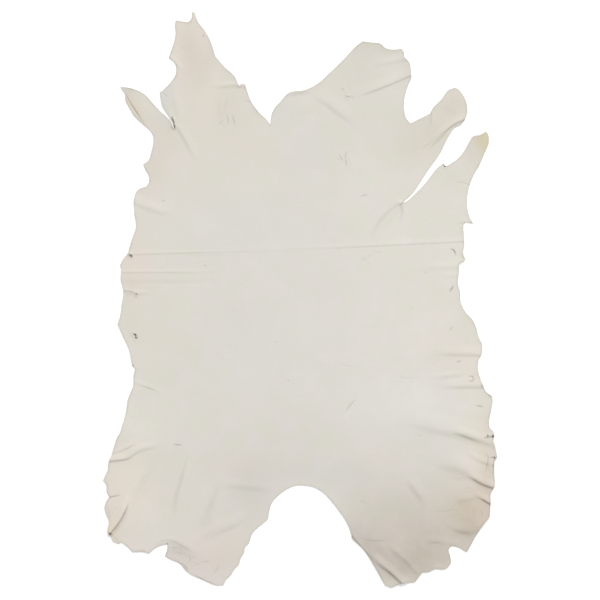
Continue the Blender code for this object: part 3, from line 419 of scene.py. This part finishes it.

# Soft stains and paler places: middle in squares, reach across and along in squares, turn in degrees,
# how much darker and how much more yellow. Below zero is paler or greyer. Some darker patches are painted
# shade: the soft bands beside the folds of the right hind leg, and its lower part and foot, partly its own
# colour and partly painted shade where it slopes away from the light.
stainAndShadePatches = [
    (17, -21.5, 2.2, 2.6, 0, 0.15, 0.36), (13, -25.5, 4, 2.8, 10, 0.26, 0.2),
    (9.5, -21.2, 6, 3.4, 0, 0.15, 0.05), (18.4, 15.9, 0.8, 1.6, 20, 0.12, 0.66),
    (15.2, 19.6, 1.6, 1.8, 0, 0.12, 0.14), (-19.2, -22.8, 1.2, 2, -30, 0.06, 0.3),
    (-17.2, -18, 2.6, 3.4, 0, -0.12, 0.15),
    (-9.5, -25.8, 4.4, 2.6, 10, 0.06, -0.05),
    (-12.2, -24.9, 1.5, 0.9, -20, 0.15, -0.18), (-11, 25.5, 1.4, 3, 10, 0.12, 0.16),
    (-8.5, 20, 3, 3.4, 30, 0.04, 0.06), (-16.7, 4.5, 1.5, 6, 0, 0, 0.12),
    (17.4, -10, 1.4, 6, 0, -0.07, 0.14), (11.5, 15, 2, 1.4, 30, 0.02, 0.1),
    (0, -1, 9, 11, 0, -0.015, -0.12), (-2, 19, 1.6, 1.6, 0, 0.03, -0.25),
    (13, -10, 4.4, 2, -10, -0.16, -0.16), (9.5, 0, 5, 9, 0, -0.06, 0),
    (-17.5, -11.5, 1.4, 2.4, 0, -0.09, 0), (-17, 19.3, 1.2, 2, 30, 0.08, 0.3),
    (-13.4, 20.2, 0.8, 2, -10, 0.06, -0.3), (17, 12, 1.4, 2.6, 0, -0.04, 0),
    (6, 21, 6, 4, 20, 0.05, 0), (0, -14, 4, 3, 0, 0.04, 0),
    (0, 15, 17, 4.5, 0, 0.035, 0), (1, -7.8, 12, 5, 0, -0.055, -0.06),
    (7.5, -10.2, 3, 2.6, 0, -0.03, 0), (-15.4, -13.5, 2.4, 1.8, 0, -0.09, 0.02),
    (-16, -21.5, 4, 4, 0, -0.09, 0), (-9.5, -24.5, 2.6, 1.4, 0, -0.06, 0),
    (-4.8, -18.8, 2.6, 3.6, 0, 0.08, -0.12), (3, -17.2, 6, 1.4, 0, 0.035, -0.22),
    (6.7, -25.3, 2.4, 2.6, 30, 0.26, 0), (10, -26.8, 2.4, 2, 0, 0.11, 0),
    (18.6, -18, 1, 5, 0, 0.1, 0.2), (17.1, -23.1, 1.3, 1.4, 0, 0.15, 0),
    (17.2, -13.2, 1.4, 0.8, 0, 0.06, 0), (14, -20, 4, 3, 0, 0.035, 0),
    (13.6, 16.8, 2.6, 2.2, 0, 0.09, 0.07), (17.4, 14.8, 1.3, 3, 0, 0.11, 0.05),
    (7.4, 25.4, 4.6, 1.6, 0, 0.12, 0), (10.9, 22.8, 1.1, 1.6, 0, 0.07, -0.14),
    (-13.7, 16.8, 1.8, 2.6, 0, 0.07, 0.08), (-9, 24.4, 1, 2.6, -20, 0.07, 0),
    (-6.8, 18.6, 1.5, 3.6, 0, 0.035, 0), (-17.2, 21, 1, 0.9, 0, 0.1, -0.1),
    (-15, 12.8, 1.2, 2, 0, 0.06, 0.04), (15.2, 2.8, 1.4, 3, 0, -0.05, 0),
    (13.5, -3, 5, 3, 0, -0.045, 0), (-16.9, 1.1, 0.9, 1, 0, 0.05, 0),
    (-6, 7.5, 7, 3.4, 0, 0, -0.18), (-6, -5, 4.6, 4.6, 0, 0, -0.12),
    (9.5, -12, 5, 4, 0, 0, -0.16), (1, 15, 2.4, 2.6, 0, 0, -0.2),
    (-14, -4, 4, 2.6, 0, 0, 0.07), (-16.7, 7.5, 0.9, 3.4, 0, 0, -0.16),
    (11.2, -27.2, 3, 1.6, 0, 0.08, 0), (5.2, -23, 1.2, 1.2, 0, 0.08, 0),
    (13, -22.6, 3.6, 1.4, 0, 0.045, 0), (-15.3, -12.5, 2, 1.6, 0, -0.05, 0),
    (8.8, -12, 3, 2, 0, -0.04, 0), (-15.4, -8, 2.2, 5, 0, -0.03, 0),
    (5.2, 22.8, 2.6, 1.4, 0, 0.055, 0), (-11.3, 22, 1.5, 2.2, 0, 0.04, 0),
    (15.6, 2.8, 1, 2.2, 0, -0.04, 0), (15.2, 12.2, 1.2, 1.2, 0, 0.05, 0),
    (19, -14.7, 0.8, 0.9, 0, -0.04, 0), (15.4, -17.2, 1.8, 0.7, -20, 0.06, 0.04),
    (16.2, -20.3, 1.8, 0.7, 10, 0.05, 0.04), (9.5, 18, 4, 3, 0, 0.03, 0),
    (-6, 15, 5, 4, 0, 0, 0.06),
]

# Rosier places, where the skin was thin: middle in squares, reach across and along in squares, turn, how rosy
blushes = [
    (-16.2, 3.6, 1.4, 2.6, 0, 0.22),
    (-18, -20.5, 3, 4, 0, 0.2),
    (-9, -25.5, 4.6, 3, 10, 0.2),
    (18.2, -20.5, 2, 5, 0, 0.26),
    (11, -25, 6, 4, 10, 0.18),
    (-10.6, 24.5, 2, 5, 10, 0.16),
    (-14.5, 13.5, 2, 3, 0, 0.12),
    (14.5, -5.5, 3, 4.5, 0, 0.1),
    (-4.6, -16.5, 4.6, 1.6, 0, 0.12),
    (8, -16, 3.4, 1.6, 0, 0.12),
]

# How far the cut edge stands up along each stretch, in mm, and how dark its edge band is: soil and painted
# shade
rimLooks = {
    "leftCheekOutside": (1, 0.2), "leftCheekEnd": (1, 0.24), "leftCheekInside": (1.5, 0.16),
    "rightCheekInside": (2, 0.13), "rightCheekEnd": (2.5, 0.14), "rightBay": (1, 0.1),
    "rightFinger": (2.5, 0.16), "foreLegSlitUpper": (0.8, 0.08), "foreLegSlitLower": (0.8, 0.1),
    "rightForeLeg": (2.5, 0.14), "rightFlank": (3.5, 0.13), "rightHindLeg": (4, 0.15),
    "rightHindFoot": (3, 0.14), "archRightSide": (2, 0.1), "archLeftSide": (0.8, 0.1),
    "leftHindFoot": (1.2, 0.24), "leftHindLeg": (1.6, 0.2), "leftFlankLower": (2, 0.11),
    "leftFlankUpper": (1.6, 0.12), "leftShoulder": (1.2, 0.12), "leftForeLeg": (1, 0.15),
}


# Points from start up to end on a curve that also heeds its neighbours
def smoothSpan(before, start, end, after, parts):
    first, middle, last = start - before, end - start, after - end
    firstLength = max(np.linalg.norm(first), 1e-9)
    length = np.linalg.norm(middle)
    lastLength = max(np.linalg.norm(last), 1e-9)
    leave = (first / firstLength * length + middle / length * firstLength) / (firstLength + length) * length
    arrive = (middle / length * lastLength + last / lastLength * length) / (lastLength + length) * length
    t = (np.arange(parts) / parts)[:, None]
    return (
        (2 * t**3 - 3 * t**2 + 1) * start + (t**3 - 2 * t**2 + t) * leave
        + (3 * t**2 - 2 * t**3) * end + (t**3 - t**2) * arrive
    )


# The closed edge in metres, centred as the solid is, and the stretch that each point belongs to
def outlineRim():
    rows = [(stretch, *row) for stretch, stretchRows in outline.items() for row in stretchRows]
    places = np.array([row[1:3] for row in rows]) * square
    corners = [corner in row[3:] for row in rows]
    count = len(rows)
    rim, names = [], []
    for i in range(count):
        start, end = places[i], places[(i + 1) % count]
        before = 2 * start - end if corners[i] else places[i - 1]
        after = 2 * end - start if corners[(i + 1) % count] else places[(i + 2) % count]
        parts = max(1, round(np.linalg.norm(end - start) / fineness["rimStep"]))
        rim.append(smoothSpan(before, start, end, after, parts))
        names.extend([rows[i][0]] * parts)
    rim = np.vstack(rim)
    middle = (rim.min(axis=0) + rim.max(axis=0)) / 2
    return rim - middle, names, middle


# The direction out of the hide at each point of its edge
def outwardOf(rim):
    way = np.roll(rim, -1, axis=0) - np.roll(rim, 1, axis=0)
    way /= np.linalg.norm(way, axis=1)[:, None]
    return np.column_stack((-way[:, 1], way[:, 0]))


# For each point: how far along the path, its distance to the side (left is positive), and the length
def nearPath(points, path):
    nearest = np.full(len(points), np.inf)
    along = np.zeros(len(points))
    aside = np.zeros(len(points))
    walked = 0.0
    for start, end in zip(path[:-1], path[1:]):
        step = end - start
        length = np.linalg.norm(step)
        way = step / length
        offset = points - start
        run = np.clip(offset @ way, 0, length)
        distance = np.linalg.norm(offset - run[:, None] * way, axis=1)
        side = np.where(way[0] * offset[:, 1] - way[1] * offset[:, 0] >= 0, 1.0, -1.0)
        closer = distance < nearest
        nearest = np.where(closer, distance, nearest)
        along = np.where(closer, walked + run, along)
        aside = np.where(closer, side * distance, aside)
        walked += length
    return along, aside, walked


# Each point's distance to the nearest point of the cut edge, and that point's number
def nearRim(points, rim):
    depth = np.full(len(points), np.inf)
    nearest = np.zeros(len(points), int)
    for place, (x, y) in enumerate(rim):
        distance = (points[:, 0] - x) ** 2 + (points[:, 1] - y) ** 2
        closer = distance < depth
        depth[closer] = distance[closer]
        nearest[closer] = place
    return np.sqrt(depth), nearest


# From 0 to 1 with a soft start and a soft end
def smoothRise(value):
    value = np.clip(value, 0, 1)
    return value * value * (3 - 2 * value)


def smoothPath(path, step):
    places = np.array(path) * square - centre
    points = []
    for i in range(len(places) - 1):
        start, end = places[i], places[i + 1]
        before = places[i - 1] if i > 0 else 2 * start - end
        after = places[i + 2] if i + 2 < len(places) else 2 * end - start
        parts = max(1, round(np.linalg.norm(end - start) / step))
        points.extend(smoothSpan(before, start, end, after, parts))
    points.append(places[-1])
    return np.array(points)


# Every row of a table with its smooth path
def smoothPaths(table, step):
    return [(smoothPath(row[0], step), row) for row in table]


# Gentle seeded ups and downs from -1 to 1
def waves(points, length, seed):
    return np.array([noise.noise(Vector((x / length, y / length, seed))) for x, y in points])


# The outline filled as one face, then cut straight across both ways into small squares
def cutSheet(rim):
    sheet = bmesh.new()
    sheet.faces.new([sheet.verts.new((x, y, 0)) for x, y in rim[::-1]])
    low, high = rim.min(axis=0), rim.max(axis=0)
    for axis, normal in enumerate((Vector((1, 0, 0)), Vector((0, 1, 0)))):
        for place in np.arange(low[axis] + fineness["cutStep"] / 2, high[axis], fineness["cutStep"]):
            everything = sheet.verts[:] + sheet.edges[:] + sheet.faces[:]
            bmesh.ops.bisect_plane(
                sheet, geom=everything, dist=1e-6, plane_co=normal * place, plane_no=normal
            )
    bmesh.ops.remove_doubles(sheet, verts=sheet.verts, dist=fineness["shortest"])
    splitLargeFaces(sheet)
    return sheet


def splitLargeFaces(sheet):
    large = [face for face in sheet.faces if len(face.verts) > 4]
    bmesh.ops.triangulate(sheet, faces=large)


# Halves the edges of the squares near folds and the cut edge, then again near fine creases and marks
def divideWhereNeeded(sheet, folded, fine, rim):
    for level in (0, 1):
        longest = fineness["longest"][level] * fineness["cutStep"]
        edges = [edge for edge in sheet.edges if edge.calc_length() > longest]
        middles = np.array([tuple((edge.verts[0].co + edge.verts[1].co) / 2)[:2] for edge in edges])
        need = np.zeros(len(edges), bool)
        if level == 0:
            for crest, row in folded:
                reach = max(row[2], row[3]) * mm * fineness["foldReach"]
                need |= np.abs(nearPath(middles, crest)[1]) < reach
            need |= nearRim(middles, rim)[0] < fineness["edgeBand"]
        for crest, row in fine:
            if level == 0:
                need |= np.abs(nearPath(middles, crest)[1]) < max(row[2] * mm, 2 * fineness["creaseBand"])
            elif row[3] < fineness["broadCrease"]:
                need |= np.abs(nearPath(middles, crest)[1]) < fineness["creaseBand"]
        for x, y, *_ in marks:
            spot = np.array((x, y)) * square - centre
            need |= np.linalg.norm(middles - spot, axis=1) < fineness["markBand"][level]
        chosen = [edge for edge, wanted in zip(edges, need) if wanted]
        bmesh.ops.subdivide_edges(sheet, edges=chosen, cuts=1, use_grid_fill=True)
        splitLargeFaces(sheet)


# How far a fold lifts each point, from 0 to 1, with a round crest and both ends as its row says
def ridge(points, crest, row, sharpness):
    along, aside, length = nearPath(points, crest)
    width = np.where(aside > 0, row[2], row[3]) * mm
    shape = (0.5 + 0.5 * np.cos(np.pi * np.clip(np.abs(aside) / width, 0, 1))) ** sharpness
    fade = hide["fadePart"] * length
    if row[4]:
        shape = shape * smoothRise(along / fade)
    if row[5]:
        shape = shape * smoothRise((length - along) / fade)
    return shape


# How far the cut edge stands up, by its stretch, waving along the edge
def curlUp(depth, nearest, rim, names):
    heights = np.array([rimLooks[name][0] for name in names]) * mm
    blend = curl["blend"]
    wrapped = np.concatenate((heights[-blend:], heights, heights[:blend]))
    heights = np.convolve(wrapped, np.ones(blend) / blend, mode="same")[blend:-blend]
    wave = curl["middle"] + curl["swing"] * waves(rim, curl["waveLength"], seeds["curl"])
    heights = heights * np.clip(wave, curl["least"], 1.0)
    return heights[nearest] * np.clip(1 - depth / curl["width"], 0, 1) ** 2


# A soft-edged oval from 1 in its middle to 0, its reach and place in squares
def softPatch(points, x, y, across, along, turn):
    offset = (points + centre) / square - (x, y)
    cosTurn, sinTurn = math.cos(math.radians(turn)), math.sin(math.radians(turn))
    u = (offset[:, 0] * cosTurn + offset[:, 1] * sinTurn) / across
    v = (offset[:, 1] * cosTurn - offset[:, 0] * sinTurn) / along
    return np.exp(-(u * u + v * v))


# What one pin left: how far the skin is puckered round it, and how dark its spot is: painted shade for a
# hole, fainter for a small mark
def pinMark(points, x, y, width, dark, pucker, wrinkles):
    offset = points - (np.array((x, y)) * square - centre)
    away = np.linalg.norm(offset, axis=1)
    half = width * mm / 2
    turn = np.arctan2(offset[:, 1], offset[:, 0])
    lift = np.exp(-((away - pinned["ring"] * half) / (pinned["ringWidth"] * half)) ** 2)
    if wrinkles:
        rays = np.exp(-((away - pinned["wrinkles"] * half) / (pinned["wrinkleWidth"] * half)) ** 2)
        lift = lift + pinned["wrinkleShare"] * rays * np.cos(wrinkles * turn + x)
    edge = half * (1 + pinned["uneven"] * np.sin(2 * turn + y))
    spot = dark * np.clip(pinned["spot"] - away / edge, 0, 1) ** pinned["spotEdge"]
    return mm * pucker * lift - pinned["hollow"] * np.exp(-((away / half) ** 2)), spot


# Raises the sheet into its folds, creases, puckers and curled edge, and keeps what the looks need
def shapeSheet(sheet, folded, fine, rim, names):
    points = np.array([tuple(vert.co)[:2] for vert in sheet.verts])
    depth, nearest = nearRim(points, rim)
    height = sway["height"] * (sway["middle"] + waves(points, sway["length"], seeds["sway"]))
    height += sway["smallHeight"] * waves(points, sway["smallLength"], seeds["smallSway"])
    creaseGrimeAndShade, spots, darkness, yellowness = (np.zeros(len(points)) for _ in range(4))
    for crest, row in folded:
        height += row[1] * mm * ridge(points, crest, row, row[6])
    for crest, row in fine:
        shape = ridge(points, crest, row, 1)
        height += row[1] * mm * shape
        # crease darkening: grime, and painted shade in the valleys
        creaseGrimeAndShade = np.maximum(creaseGrimeAndShade, shape * row[6])
    for mark in marks:
        lift, spot = pinMark(points, *mark)
        height += lift
        spots = np.maximum(spots, spot)
    height += curlUp(depth, nearest, rim, names)
    height = np.maximum(height, 0)

    # the edge band: soil, and painted shade where the curled edge falls in shadow
    edgeSoilAndShade = np.array([rimLooks[name][1] for name in names])
    edgeSoilAndShade = edgeSoilAndShade * (1 + hide["edgeSoilAndShadeSwing"] * waves(rim, hide["edgeSoilAndShadeLength"], seeds["edgeSoilAndShade"]))
    # darker patches: stains, and painted shade beside folds and where the hind leg slopes from the light
    for *place, darker, yellower in stainAndShadePatches:
        patch = softPatch(points, *place)
        darkness += darker * patch
        yellowness += yellower * patch
    looks = {
        "creaseGrimeAndShade": np.clip(creaseGrimeAndShade, 0, 1),
        "spot": np.clip(spots, 0, 1),
        "rimSoilAndShade": np.clip(edgeSoilAndShade[nearest], 0, 1) * np.clip(1 - depth / hide["edgeTint"], 0, 1),
        "rosiness": sum(rosier * softPatch(points, *place) for *place, rosier in blushes),
        "darkness": np.clip(darkness, 0, 1),
        "paleness": np.clip(-darkness, 0, 1),
        "yellowness": np.clip(yellowness, 0, 1),
        "coolness": np.clip(-yellowness, 0, 1),
    }
    layers = {name: sheet.verts.layers.float.new(name) for name in looks}
    for i, vert in enumerate(sheet.verts):
        vert.co.z = height[i]
        for name, layer in layers.items():
            vert[layer] = float(looks[name][i])


def leatherMesh(sheet):
    mesh = bpy.data.meshes.new("wholeHide")
    for face in sheet.faces:
        face.smooth = True
    for edge in sheet.edges:
        edge.smooth = not edge.is_boundary  # the cut edge is crisp
    sheet.to_mesh(mesh)
    sheet.free()
    piece = bpy.data.objects.new("wholeHide", mesh)
    bpy.context.scene.collection.objects.link(piece)
    return piece


# The hide's own UV map, laid out as it lies
def unwrapFlat(piece):
    layer = piece.data.uv_layers.new(name="laidFlat")
    size = max(hide["flatSize"])
    for loop in piece.data.loops:
        co = piece.data.vertices[loop.vertex_index].co
        layer.data[loop.index].uv = (co.x / size + 0.5, co.y / size + 0.5)


# An sRGB hex colour as linear values
def linear(hexColour):
    parts = [int(hexColour[i:i + 2], 16) / 255 for i in (1, 3, 5)]
    return [p / 12.92 if p <= 0.04045 else ((p + 0.055) / 1.055) ** 2.4 for p in parts] + [1.0]


# Adds a node. Settings and links are named by the socket's name or number, or by the node's property
def addNode(tree, kind, settings, links):
    node = tree.nodes.new(kind)
    for name, value in settings.items():
        if isinstance(name, str) and hasattr(node, name):
            setattr(node, name, value)
        else:
            node.inputs[name].default_value = value
    for name, source in links.items():
        tree.links.new(source, node.inputs[name])
    return node


# A material with its surface's constants set, then its tree and its shader
def newMaterial(name, surface):
    material = bpy.data.materials.new(name)
    material.use_nodes = True
    tree = material.node_tree
    shader = tree.nodes["Principled BSDF"]
    for socket, value in surface.items():
        shader.inputs[socket].default_value = value
    return material, tree, shader


# Soft noise whose clouds are about so many metres across
def clouds(tree, coords, size, detail, roughness=0.5):
    settings = {"Scale": 1 / size, "Detail": detail, "Roughness": roughness}
    return addNode(tree, "ShaderNodeTexNoise", settings, {"Vector": coords}).outputs["Fac"]


# Brings a value from one range to another
def stretched(tree, value, start, end):
    settings = {"From Min": start[0], "From Max": start[1], "To Min": end[0], "To Max": end[1]}
    return addNode(tree, "ShaderNodeMapRange", settings, {"Value": value}).outputs["Result"]


# A value that the mesh carries at each of its points
def painted(tree, layer):
    return addNode(tree, "ShaderNodeAttribute", {"attribute_name": layer}, {}).outputs["Fac"]


def combined(tree, operation, first, second):
    settings = {"operation": operation, "use_clamp": True}
    return addNode(tree, "ShaderNodeMath", settings, {0: first, 1: second}).outputs[0]


# Goes from the first colour to the second by an amount. Both are hex colours or outputs of other nodes
def blended(tree, amount, first, second):
    settings, links = {"data_type": "RGBA"}, {}
    for socket, value in ((0, amount), (6, first), (7, second)):
        if isinstance(value, str):
            settings[socket] = linear(value)
        elif isinstance(value, float):
            settings[socket] = value
        else:
            links[socket] = value
    return addNode(tree, "ShaderNodeMix", settings, links).outputs[2]


# Relief from a height pattern, over the relief that is already there
def raised(tree, height, strength, depth, **under):
    settings = {"Strength": strength, "Distance": depth}
    return addNode(tree, "ShaderNodeBump", settings, {"Height": height, **under})


# Chrome-tanned hide in the crust, undyed and drum-milled: off-white and soft, with a dull low gloss. The
# tanning took a little unevenly, which leaves faint rosy and olive patches.
grain = {
    "pale": "#C9C5BD",
    "deep": "#C4BFB5",
    "yellowed": "#CBBD9C",
    "cooled": "#C0C0C3",
    "bleached": "#E4E0DA",
    "rosy": "#C7C1BC",
    "olive": "#C3C2B6",
    "blushed": "#D3BDB8",
    # the dark colour for soil, and for painted shade in creases, along the edge and beside folds
    "soiledAndShaded": "#70665B",
    # near black: painted shade where pin holes look dark
    "spot": "#1B120B",
    "mottle": 0.11,  # clouds in the tone, metres across
    "cloud": 0.022,
    "cloudShare": 0.3,
    "tinge": 0.055,  # patches in the hue, metres across
    "tingeShare": 0.5,
    "patchy": (0.7, 1.3),  # how unevenly a stain took
    "cloudRange": (0.3, 0.7),  # the part of the clouds that goes from deep to pale
    "tingeRange": (0.35, 0.65),
    "pebble": 2.4 * mm,  # the real grain is about 0.8 mm, too fine to show, so it is drawn coarser
    "pebbleDepth": 0.3 * mm,
    "pebbleStrength": 0.8,
    "pebbleSoftness": 0.6,
    "wrinkle": 9.0 * mm,
    "wrinkleDepth": 0.25 * mm,
    "wrinkleStrength": 0.5,
    "wrinkleDetail": (4.0, 0.55),
    "roughness": (0.56, 0.74),  # smoother where the grain was rubbed
    "surface": {"IOR": 1.48, "Specular IOR Level": 0.35},
}


def grainSide():
    material, tree, shader = newMaterial("grainSide", grain["surface"])
    coords = addNode(tree, "ShaderNodeTexCoord", {}, {}).outputs["Object"]

    # Tone and hue: broad clouds with smaller ones, then the rosy and olive patches
    mottle = clouds(tree, coords, grain["mottle"], 2.0)
    cloud = clouds(tree, coords, grain["cloud"], 3.0)
    both = addNode(tree, "ShaderNodeMix", {0: grain["cloudShare"]}, {2: mottle, 3: cloud}).outputs[0]
    tone = blended(tree, stretched(tree, both, grain["cloudRange"], (0, 1)), grain["deep"], grain["pale"])
    tinge = stretched(tree, clouds(tree, coords, grain["tinge"], 2.0), grain["tingeRange"], (0, 1))
    hue = blended(tree, tinge, grain["olive"], grain["rosy"])
    colour = blended(tree, grain["tingeShare"], tone, hue)

    # Stains: yellow where the skin was oily, rosy or bleached where it was scraped thin, uneven in each patch
    uneven = stretched(tree, cloud, (0, 1), grain["patchy"])
    tints = {"yellowness": "yellowed", "coolness": "cooled", "rosiness": "blushed", "paleness": "bleached"}
    for layer, tint in tints.items():
        amount = combined(tree, "MULTIPLY", painted(tree, layer), uneven)
        colour = blended(tree, amount, colour, grain[tint])
    # Darkening towards one dark colour: the stain patches, partly painted shade beside folds, and the edge
    # band and creases, soil and grime with painted shade
    soilingAndShade = combined(tree, "MULTIPLY", painted(tree, "darkness"), uneven)
    for layer in ("rimSoilAndShade", "creaseGrimeAndShade"):
        soilingAndShade = combined(tree, "ADD", soilingAndShade, painted(tree, layer))
    colour = blended(tree, soilingAndShade, colour, grain["soiledAndShaded"])
    # Pin spots: near black as painted shade for pin holes, fainter for small marks
    colour = blended(tree, painted(tree, "spot"), colour, grain["spot"])
    tree.links.new(colour, shader.inputs["Base Color"])
    tree.links.new(stretched(tree, cloud, (0, 1), grain["roughness"]), shader.inputs["Roughness"])

    # Relief: the pebbled grain, over soft wrinkles
    settings = {"feature": "SMOOTH_F1", "Scale": 1 / grain["pebble"], "Smoothness": grain["pebbleSoftness"]}
    pebble = addNode(tree, "ShaderNodeTexVoronoi", settings, {"Vector": coords}).outputs["Distance"]
    wrinkle = clouds(tree, coords, grain["wrinkle"], *grain["wrinkleDetail"])
    wrinkled = raised(tree, wrinkle, grain["wrinkleStrength"], grain["wrinkleDepth"]).outputs["Normal"]
    pebbled = raised(tree, pebble, grain["pebbleStrength"], grain["pebbleDepth"], Normal=wrinkled)
    pebbled.invert = True
    tree.links.new(pebbled.outputs["Normal"], shader.inputs["Normal"])
    return material


# The flesh side: split fibres brushed up into a short suede nap, so it is warmer, deeper and fully matt.
flesh = {
    "pale": "#C9C0B1",
    "deep": "#B5AA98",
    "cloud": 0.03,
    "fibre": 3.0 * mm,
    "fibreDetail": (5.0, 0.7),
    "fibreStrength": 0.7,
    "fibreDepth": 0.4 * mm,
    "surface": {
        "Roughness": 0.95, "Specular IOR Level": 0.2, "Sheen Weight": 0.25, "Sheen Roughness": 0.5,
    },
}

# The knife's cut through the fibres: matt and paler than either side, where no grime has reached it, and
# paler still as painted light that lifts the shade on edges facing away from the softbox.
cutEdge = {
    "pale": "#E2DCD0",
    "deep": "#CFC7B8",
    "cloud": 2.0 * mm,
    "fibre": 2.0 * mm,
    "fibreDetail": (4.0, 0.5),
    "fibreStrength": 0.5,
    "fibreDepth": 0.2 * mm,
    "surface": {"Roughness": 0.9, "Specular IOR Level": 0.2},
}


def bareFibres(name, side):
    material, tree, shader = newMaterial(name, side["surface"])
    coords = addNode(tree, "ShaderNodeTexCoord", {}, {}).outputs["Object"]
    colour = blended(tree, clouds(tree, coords, side["cloud"], 4.0), side["deep"], side["pale"])
    tree.links.new(colour, shader.inputs["Base Color"])
    fibres = clouds(tree, coords, side["fibre"], *side["fibreDetail"])
    relief = raised(tree, fibres, side["fibreStrength"], side["fibreDepth"])
    tree.links.new(relief.outputs["Normal"], shader.inputs["Normal"])
    return material


# A plain pale painted floor, lit so that it stays near white
floor = {
    "size": 14.0,
    "below": 0.05 * mm,  # a hair under the hide, so that the two faces never share one plane
    "surface": {"Base Color": linear("#FAFAF9"), "Roughness": 0.95, "Specular IOR Level": 0.1},
}


def layFloor():
    mesh = bpy.data.meshes.new("paleFloor")
    ground = bmesh.new()
    bmesh.ops.create_grid(ground, x_segments=1, y_segments=1, size=floor["size"] / 2)
    ground.to_mesh(mesh)
    ground.free()
    piece = bpy.data.objects.new("paleFloor", mesh)
    piece.location.z = -floor["below"]
    bpy.context.scene.collection.objects.link(piece)
    mesh.materials.append(newMaterial("palePaint", floor["surface"])[0])


studio = {
    "softbox": (2.2, 6.0, 6.6),  # from the neck end, a little to the right
    "softboxSize": 3.6,
    "softboxPower": 500.0,
    "skyStrength": 0.86,
}


def lightStudio():
    lamp = bpy.data.lights.new("softbox", "AREA")
    lamp.shape = "SQUARE"
    lamp.size = studio["softboxSize"]
    lamp.energy = studio["softboxPower"]
    holder = bpy.data.objects.new("softbox", lamp)
    holder.location = studio["softbox"]
    holder.rotation_euler = (-Vector(studio["softbox"])).to_track_quat("-Z", "Y").to_euler()
    bpy.context.scene.collection.objects.link(holder)
    world = bpy.data.worlds.new("softSky")
    world.use_nodes = True
    sky = world.node_tree.nodes["Background"]
    sky.inputs["Color"].default_value = (1.0, 1.0, 1.0, 1.0)
    sky.inputs["Strength"].default_value = studio["skyStrength"]
    bpy.context.scene.world = world
    bpy.context.scene.view_settings.view_transform = "Standard"


view = {"lens": 85.0, "sensor": 36.0, "width": 1.5, "aim": (-0.25 * mm, -0.62 * mm)}


def placeCamera():
    camera = bpy.data.cameras.new("straightDown")
    camera.lens = view["lens"]
    camera.sensor_width = view["sensor"]
    holder = bpy.data.objects.new("straightDown", camera)
    holder.location = (*view["aim"], view["width"] * view["lens"] / view["sensor"])
    bpy.context.scene.collection.objects.link(holder)
    bpy.context.scene.camera = holder


rim, stretchNames, centre = outlineRim()
rim = rim + outwardOf(rim) * (hide["ragged"] * waves(rim, hide["raggedLength"], seeds["ragged"]))[:, None]
foldCrests = smoothPaths(folds, fineness["foldStep"])
creaseCrests = smoothPaths(creases, fineness["creaseStep"])
sharpFolds = [(crest, row) for crest, row in foldCrests if row[3] < fineness["sharpFold"]]
print("outline:", len(rim), "points")

sheet = cutSheet(rim)
print("cut sheet:", len(sheet.faces), "faces")
divideWhereNeeded(sheet, foldCrests, creaseCrests + sharpFolds, rim)
print("divided sheet:", len(sheet.faces), "faces")
shapeSheet(sheet, foldCrests, creaseCrests, rim, stretchNames)
wholeHide = leatherMesh(sheet)
unwrapFlat(wholeHide)
thick = wholeHide.modifiers.new("leather thickness", "SOLIDIFY")
thick.thickness = hide["thickness"]
thick.offset = 1.0
thick.use_rim = True
thick.material_offset = 1
thick.material_offset_rim = 2
for material in (grainSide(), bareFibres("fleshSide", flesh), bareFibres("cutEdge", cutEdge)):
    wholeHide.data.materials.append(material)
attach(wholeHide, "root")
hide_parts("hide")
print("hide done")

layFloor()
lightStudio()
placeCamera()
print("studio done")
